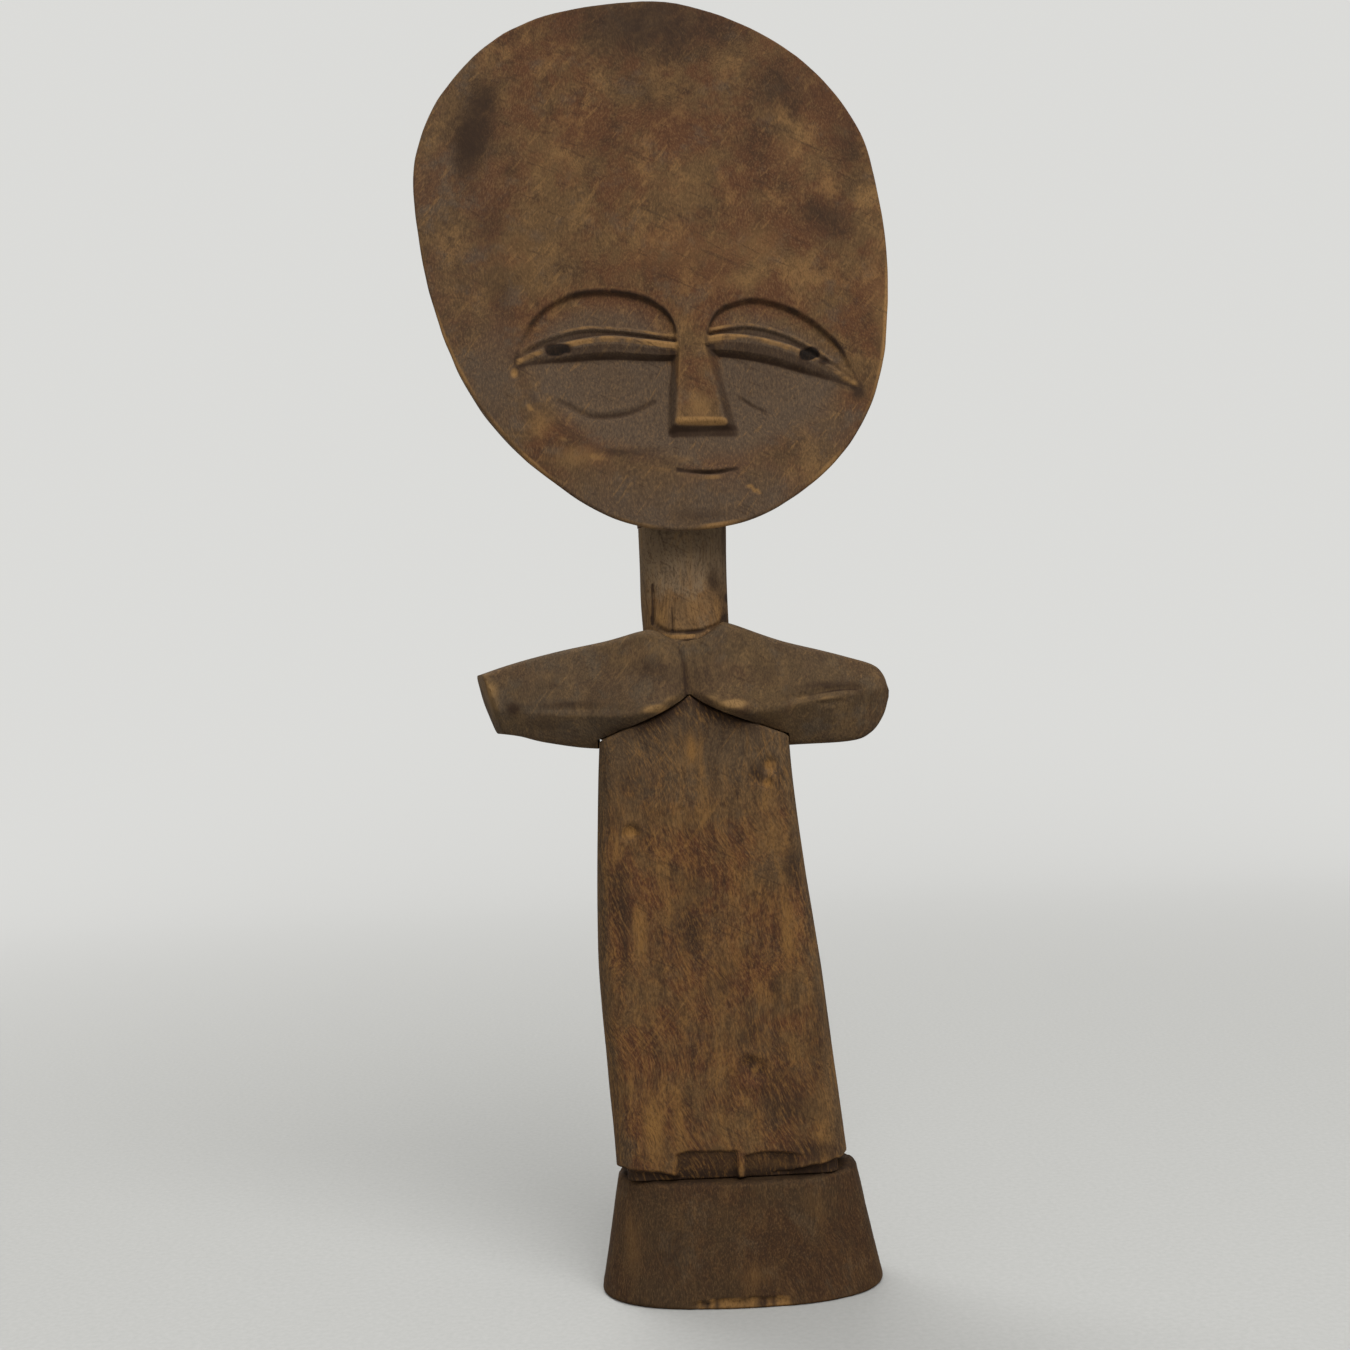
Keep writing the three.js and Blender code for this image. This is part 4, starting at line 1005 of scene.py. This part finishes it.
def body_marks(points, edge, hollow):
    seen = points[:, [0, 2]]
    x, y, z = points.T
    front = smooth(1, -3, y)
    # Painted shade in the foot's groove and chisel cuts, which also dims the light marks there.
    cut = smooth(0.3, 1.0, foot_cuts(points))
    glows = spots(
        seen, (-7, 136, 3, 8, 0.7), (12.2, 131, 2.6, 2.6, 1.2), (11.4, 126.6, 2.4, 2.2, 1.1),
        (-23, 116.1, 3, 2.6, 1.4), (-21.5, 92, 3.4, 17, 0.7), (14.6, 90, 3.2, 20, 0.75), (0, 84, 7, 18, 0.35),
        (-3, 57, 8, 16, 0.4), (-20.5, 43, 5, 16, 0.9), (-14, 46, 3, 13, 0.6), (12, 113, 8, 12, 0.35),
        (5.1, 56.3, 1.8, 1.8, 0.7), (-15.9, 33.5, 0.8, 4, 0.7), (0.6, 33, 0.8, 2.8, 0.5), (-27, 112, 4, 9, 0.4),
        (-12, 70, 4, 12, 0.3))
    stains = spots(
        seen, (-9.4, 91, 9, 15, 0.6), (16.6, 106, 4.5, 9, 0.7), (-2, 79, 3, 9, 0.7), (11, 76, 3.4, 8, 0.6),
        (12, 47, 12, 12, 0.7), (9, 60, 11, 13, 0.45), (-6, 141, 26, 13, 0.45), (-26, 101, 5, 18, 0.6),
        (8.6, 129.4, 3.6, 4, 0.9), (14.6, 128.6, 3, 5, 0.5), (-26, 119, 3, 5, 0.6), (-22, 128, 9, 10, 0.5),
        (20, 60, 4, 20, 0.4), (-25.5, 86, 2.2, 12, 0.6), (-9, 104, 9, 8, 0.45), (18, 36, 12, 5, 0.8),
        (4, 66, 6, 7, 0.35), (-12, 38, 5, 4, 0.3))
    # Painted shadow under the breasts.
    breast_shadow = (1 - smooth(0, 5, roof(x) - z)) * (1 - smooth(10, 22, np.abs(x - NECK_X)))
    light = (0.5 * edge + front * glows) * (1 - 0.7 * cut)
    # Painted shade in the hollows and along the foot, next to the base.
    dark = 0.8 * hollow + stains + front * (0.6 * cut + 0.75 * breast_shadow) + 0.6 * (1 - smooth(30.2, 32.5, z))
    # The sides go greyer and lighter as a painted sheen where they turn away; the top is dustier.
    sides = smooth(0.8, 0.97, np.abs(off_middle(x, z)))
    dust_and_sheen = smooth(112, 144, z) + 0.7 * sides + 0.2 * ripple(points, (6, 8, 34), 42)
    return light, np.clip(dark, 0, 1), dust_and_sheen


def base_marks(points, edge, hollow):
    seen = points[:, [0, 2]]
    x, y, z = points.T
    front = y < 0
    chips = front * window(x, -14.5, -12.5, 9, 12) * (1 - smooth(2.0, 3.2, z))
    flecks = ripple(points, (0.9, 6, 8), 43)
    light = 0.3 * edge + 1.6 * chips * smooth(-0.3, 0.4, flecks)
    light += front * spots(seen, (-27, 14, 5, 17, 0.45), (18, 24, 5, 7, 0.3), (2, 8, 16, 7, 0.3))
    # Painted shade in the hollows.
    dark = 0.6 * hollow + front * spots(seen, (-16, 13, 8, 13, 0.5), (24, 12, 6, 14, 0.3))
    # Painted shade along the top, under the body's foot.
    dark += 0.7 * smooth(28.2, 29.6, z) + 0.8 * chips * smooth(0.1, 0.6, -flecks)
    return light, np.clip(dark, 0, 1), 0.2 + 0.2 * ripple(points, 16, 44)


# Finishes

def linear(red, green, blue):
    """A colour as a screen shows it, in the renderer's own light."""
    return tuple(c / 12.92 if c <= 0.04045 else ((c + 0.055) / 1.055) ** 2.4 for c in (red, green, blue)) + (1,)


class Tap:
    """A socket of a material's nodes. Sums with numbers and other taps add Math nodes."""

    def __init__(self, tree, socket=None):
        self.tree = tree
        self.socket = socket

    def node(self, kind, inputs, output=0, **settings):
        """Adds a node with its inputs and settings, and gives the tap of one output."""
        made = self.tree.nodes.new("ShaderNode" + kind)
        for name, value in settings.items():
            setattr(made, name, value)
        for name, value in inputs.items():
            if isinstance(value, Tap):
                self.tree.links.new(value.socket, made.inputs[name])
            else:
                made.inputs[name].default_value = value
        return Tap(self.tree, made.outputs[output]) if made.outputs else None

    def sum(self, operation, first, second):
        return self.node("Math", {0: first, 1: second}, operation=operation)

    def __add__(self, other):
        return self.sum("ADD", self, other)

    def __sub__(self, other):
        return self.sum("SUBTRACT", self, other)

    def __mul__(self, other):
        return self.sum("MULTIPLY", self, other)

    def __rsub__(self, other):
        return self.sum("SUBTRACT", other, self)

    __radd__ = __add__

    def between(self, low, high):
        """0 at the low value, 1 at the high one, and smooth between."""
        return self.node("MapRange", {"Value": self, "From Min": low, "From Max": high},
                         interpolation_type="SMOOTHSTEP")

    def blend(self, first, second):
        """One colour where this is 0 and the other where it is 1."""
        return self.node("Mix", {0: self, 6: first, 7: second}, output=2, data_type="RGBA")

    def noise(self, scale, detail, roughness):
        """Random values over these coordinates, finer with a larger scale."""
        return self.node("TexNoise", {"Vector": self, "Scale": scale, "Detail": detail, "Roughness": roughness})

    def stretched(self, length, lean=0):
        """These coordinates drawn out along the grain, which may lean by some degrees."""
        turn = (0, math.radians(lean), 0)
        return self.node("Mapping", {"Vector": self, "Rotation": turn, "Scale": (1, 1, length)},
                         vector_type="TEXTURE")

    def wandering(self, scale, reach):
        """These coordinates pushed about a little, so that what lies along them isn't straight."""
        push = self.node("TexNoise", {"Vector": self, "Scale": scale, "Detail": 1.0}, output="Color")
        return self.node("VectorMath", {0: push, 1: (reach,) * 3, 2: self}, operation="MULTIPLY_ADD")

    def seen_rays(self):
        """1 for what the eye sees, also in mirrors and through glass, and 0 for light that bounces about."""
        camera, glossy, through = (self.node("LightPath", {}, output=f"Is {kind} Ray")
                                   for kind in ("Camera", "Glossy", "Transmission"))
        return camera + glossy + through


def bare_nodes(owner):
    """The empty node tree of a material or world, to start from."""
    owner.use_nodes = True
    owner.node_tree.nodes.clear()
    return Tap(owner.node_tree)


SOOT = (0.1, 0.085, 0.075)
PALE_FLECK = (0.51, 0.395, 0.265)
STAIN_AND_SHADE = (0.2, 0.15, 0.115)
OCHRE = (0.53, 0.4, 0.245)


def stained_wood(name, plain, rust, stain_and_shade_tint, ochre, dust_and_sheen, mottled, streaked, grained, hatched, flecked):
    """Carved wood under a thin brown stain: upright grain, blotches, knife scratches, worn edges with painted
    highlights, stains with painted shade, and dust with painted sheen.

    Five colours as a screen shows them, then how much of each kind of mark the wood has.
    """
    material = bpy.data.materials.new(name)
    start = bare_nodes(material)
    place = start.node("TexCoord", {}, output="Object")
    wear_and_highlight, stain_and_shade, dust_and_sheen_layer = (start.node("Attribute", {}, output="Fac", attribute_name=layer)
                            for layer in ("wear_and_highlight", "stain_and_shade", "dust_and_sheen_layer"))

    along = place.wandering(40, 0.01)
    clouds = place.noise(62, 7, 0.68)
    patches = place.stretched(1.3).noise(95, 7, 0.72)
    blotches = place.stretched(1.2).noise(140, 7, 0.74)
    fibres = along.stretched(18).noise(430, 4, 0.66)
    grain = along.stretched(12).noise(1300, 3, 0.72)
    hatch = along.stretched(7, -20).noise(1900, 3, 0.72)
    speckle = along.stretched(2.4).noise(2700, 2, 0.6)
    veil = place.noise(110, 6, 0.7)
    scratches = place.stretched(14, 38).noise(850, 2, 0.5)
    nicks = place.stretched(11, -62).noise(950, 2, 0.5)

    plain, rust, stain_and_shade_tint, ochre, dust_and_sheen, soot, pale = (
        linear(*tint) for tint in (plain, rust, stain_and_shade_tint, ochre, dust_and_sheen, SOOT, PALE_FLECK))
    fresh = clouds.between(0.35, 0.55) * hatched
    # Worn places and painted highlights turn ochre, with ragged edges.
    ragged = wear_and_highlight + (speckle - 0.5) * 1.1 * wear_and_highlight + (blotches - 0.5) * 1.4 * wear_and_highlight
    colour = clouds.between(0.41, 0.59).blend(plain, rust)
    for amount, tint in (
            (patches.between(0.5, 0.66) * (0.45 * mottled), ochre),
            (blotches.between(0.5, 0.65) * (0.55 * mottled), stain_and_shade_tint),
            ((dust_and_sheen_layer * (clouds + 0.5) + veil.between(0.5, 0.66) * 0.5).between(0, 1), dust_and_sheen),
            (fibres.between(0.48, 0.7) * streaked, ochre),
            ((1 - fibres).between(0.48, 0.7) * streaked, stain_and_shade_tint),
            # Stains and painted shade darken towards the stain colour; the painted pupils go on to soot.
            ((stain_and_shade + (blotches - 0.5) * 1.6 * stain_and_shade).between(0.05, 1), stain_and_shade_tint),
            (ragged.between(0.08, 0.95), ochre),
            (stain_and_shade.between(1, 1.6), soot),
            (grain.between(0.49, 0.66) * grained, stain_and_shade_tint),
            (hatch.between(0.49, 0.65) * fresh, ochre),
            ((1 - hatch).between(0.49, 0.65) * fresh, stain_and_shade_tint),
            (scratches.between(0.62, 0.7) * (0.3 * mottled) * (1 - stain_and_shade), ochre),
            (nicks.between(0.63, 0.7) * (0.4 * mottled), stain_and_shade_tint),
            (speckle.between(0.47, 0.68) * 0.42, stain_and_shade_tint),
            ((1 - speckle).between(0.5, 0.7) * flecked * (1 - stain_and_shade), pale)):
        colour = amount.blend(colour, tint)

    gloss = 0.64 + blotches * 0.2 + dust_and_sheen_layer * 0.1 - wear_and_highlight * 0.08
    relief = fibres * (0.3 + streaked) + grain * 0.5 + hatch * (0.2 + hatched) + speckle * 0.6 + blotches * 0.4
    bump = start.node("Bump", {"Strength": 0.4, "Distance": 0.0004, "Height": relief})
    surface = start.node("BsdfPrincipled", {"Base Color": colour, "Roughness": gloss, "Normal": bump,
                                            "Specular IOR Level": 0.05})
    start.node("OutputMaterial", {"Surface": surface})
    return material


head_wood = stained_wood(
    "head_wood", (0.352, 0.266, 0.173), (0.328, 0.216, 0.143), STAIN_AND_SHADE, OCHRE,
    (0.318, 0.264, 0.214), mottled=1.0, streaked=0.04, grained=0.06, hatched=0.05, flecked=0.3)
neck_wood = stained_wood(
    "neck_wood", (0.44, 0.34, 0.23), (0.45, 0.325, 0.2), STAIN_AND_SHADE, OCHRE,
    (0.475, 0.4, 0.312), mottled=0.8, streaked=0.35, grained=0.4, hatched=0.1, flecked=0.25)
yoke_wood = stained_wood(
    "yoke_wood", (0.32, 0.252, 0.17), (0.292, 0.212, 0.145), STAIN_AND_SHADE, (0.52, 0.405, 0.26),
    (0.312, 0.264, 0.21), mottled=0.85, streaked=0.15, grained=0.2, hatched=0.1, flecked=0.2)
body_wood = stained_wood(
    "body_wood", (0.38, 0.285, 0.182), (0.338, 0.213, 0.141), STAIN_AND_SHADE, (0.51, 0.37, 0.205),
    (0.325, 0.265, 0.2), mottled=1.0, streaked=0.5, grained=0.35, hatched=0.5, flecked=0.3)
base_wood = stained_wood(
    "base_wood", (0.251, 0.189, 0.127), (0.239, 0.165, 0.11), (0.165, 0.125, 0.095),
    (0.47, 0.345, 0.2), (0.29, 0.235, 0.175),
    mottled=0.3, streaked=0.15, grained=0.35, hatched=0.15, flecked=0.15)
dowel_wood = stained_wood(
    "dowel_wood", (0.7, 0.56, 0.38), (0.66, 0.5, 0.33), (0.5, 0.37, 0.24),
    (0.76, 0.63, 0.45), (0.7, 0.6, 0.46),
    mottled=0.5, streaked=0.3, grained=0.3, hatched=0.1, flecked=0.1)

finish_piece(head(), "head", head_wood, head_marks)
finish_piece(neck(), "neck", neck_wood, neck_marks)
finish_piece(yoke(), "yoke", yoke_wood, yoke_marks)
finish_piece(body(), "body", body_wood, body_marks)
finish_piece(base(), "base", base_wood, base_marks)
for dowel in ("spine_dowel", "head_dowel", "foot_dowel_left", "foot_dowel_right"):
    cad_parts[dowel].material_slots[0].material = dowel_wood


# Studio: a pale sweep, soft light from above and a camera level with the chest

BACKDROP = linear(0.86, 0.86, 0.85)
FLOOR_REACH = 4000
FLOOR_END = 700
SWEEP_BEND = 500
SWEEP_TOP = 2200
CHEST = (0, 0, 0.17)
CAMERA_PLACE = (-10.2 * MM, -425 * MM, 154.3 * MM)
CAMERA_VIEW = math.radians(44.0)
CAMERA_ROLL = math.radians(2.6)


def sweep():
    """A pale floor that curves up into a backdrop well behind the doll."""
    profile = [(-FLOOR_REACH, 0), (FLOOR_END, 0)]
    profile += [(FLOOR_END + SWEEP_BEND * math.sin(a), SWEEP_BEND - SWEEP_BEND * math.cos(a))
                for a in np.linspace(0, np.pi / 2, 24)[1:]]
    profile += [(FLOOR_END + SWEEP_BEND, SWEEP_TOP)]
    points = [(x * MM, y * MM, z * MM) for y, z in profile for x in (-FLOOR_REACH, FLOOR_REACH)]
    faces = [(i, i + 1, i + 3, i + 2) for i in range(0, len(points) - 2, 2)]
    mesh = bpy.data.meshes.new("sweep")
    mesh.from_pydata(points, [], faces)
    mesh.shade_smooth()
    floor = in_scene("sweep", mesh)
    material = bpy.data.materials.new("pale_cloth")
    start = bare_nodes(material)
    seen = start.seen_rays()
    place = start.node("TexCoord", {}, output="Object")
    away = start.node("VectorMath", {0: place}, output="Value", operation="LENGTH")
    weave = place.noise(700, 2, 0.6).blend(linear(0.63, 0.63, 0.62), linear(0.69, 0.69, 0.68))
    colour = seen.blend(linear(0.6, 0.6, 0.6), weave)
    cloth = start.node("BsdfPrincipled", {"Base Color": colour, "Roughness": 0.9, "Specular IOR Level": 0.1})
    haze = start.node("Emission", {"Color": BACKDROP})
    surface = start.node("MixShader", {0: seen * away.between(0.2, 1.1), 1: cloth, 2: haze})
    start.node("OutputMaterial", {"Surface": surface})
    mesh.materials.append(material)


def room_light():
    """Even light from all round, brighter from above, behind a plain pale backdrop."""
    world = bpy.data.worlds.new("soft_room")
    start = bare_nodes(world)
    direction = start.node("TexCoord", {}, output="Generated")
    level = start.node("SeparateXYZ", {"Vector": direction}, output="Z")
    sky = level.between(-0.7, 0.9).blend((0.28, 0.28, 0.28, 1), (0.66, 0.655, 0.64, 1))
    colour = start.seen_rays().blend(sky, BACKDROP)
    start.node("OutputWorld", {"Surface": start.node("Background", {"Color": colour})})
    bpy.context.scene.world = world


def lamp(name, place, size, power):
    """A round lamp that faces the doll's chest."""
    light = bpy.data.lights.new(name, "AREA")
    light.shape = "DISK"
    light.size = size
    light.energy = power
    holder = in_scene(name, light)
    holder.location = place
    x, y, z = np.array(CHEST) - np.array(place)
    holder.rotation_euler = (math.atan2(math.hypot(x, y), -z), 0, math.atan2(y, x) - math.pi / 2)


def camera():
    lens = bpy.data.cameras.new("camera")
    lens.angle = CAMERA_VIEW
    holder = in_scene("camera", lens)
    holder.location = CAMERA_PLACE
    holder.rotation_euler = (math.pi / 2, CAMERA_ROLL, 0)
    bpy.context.scene.camera = holder


sweep()
room_light()
lamp("window", (0.5, -1.2, 1.5), 1.5, 32)
lamp("far_window", (-0.5, 0.9, 1.6), 1.2, 22)
camera()
bpy.context.scene.view_settings.view_transform = "Standard"
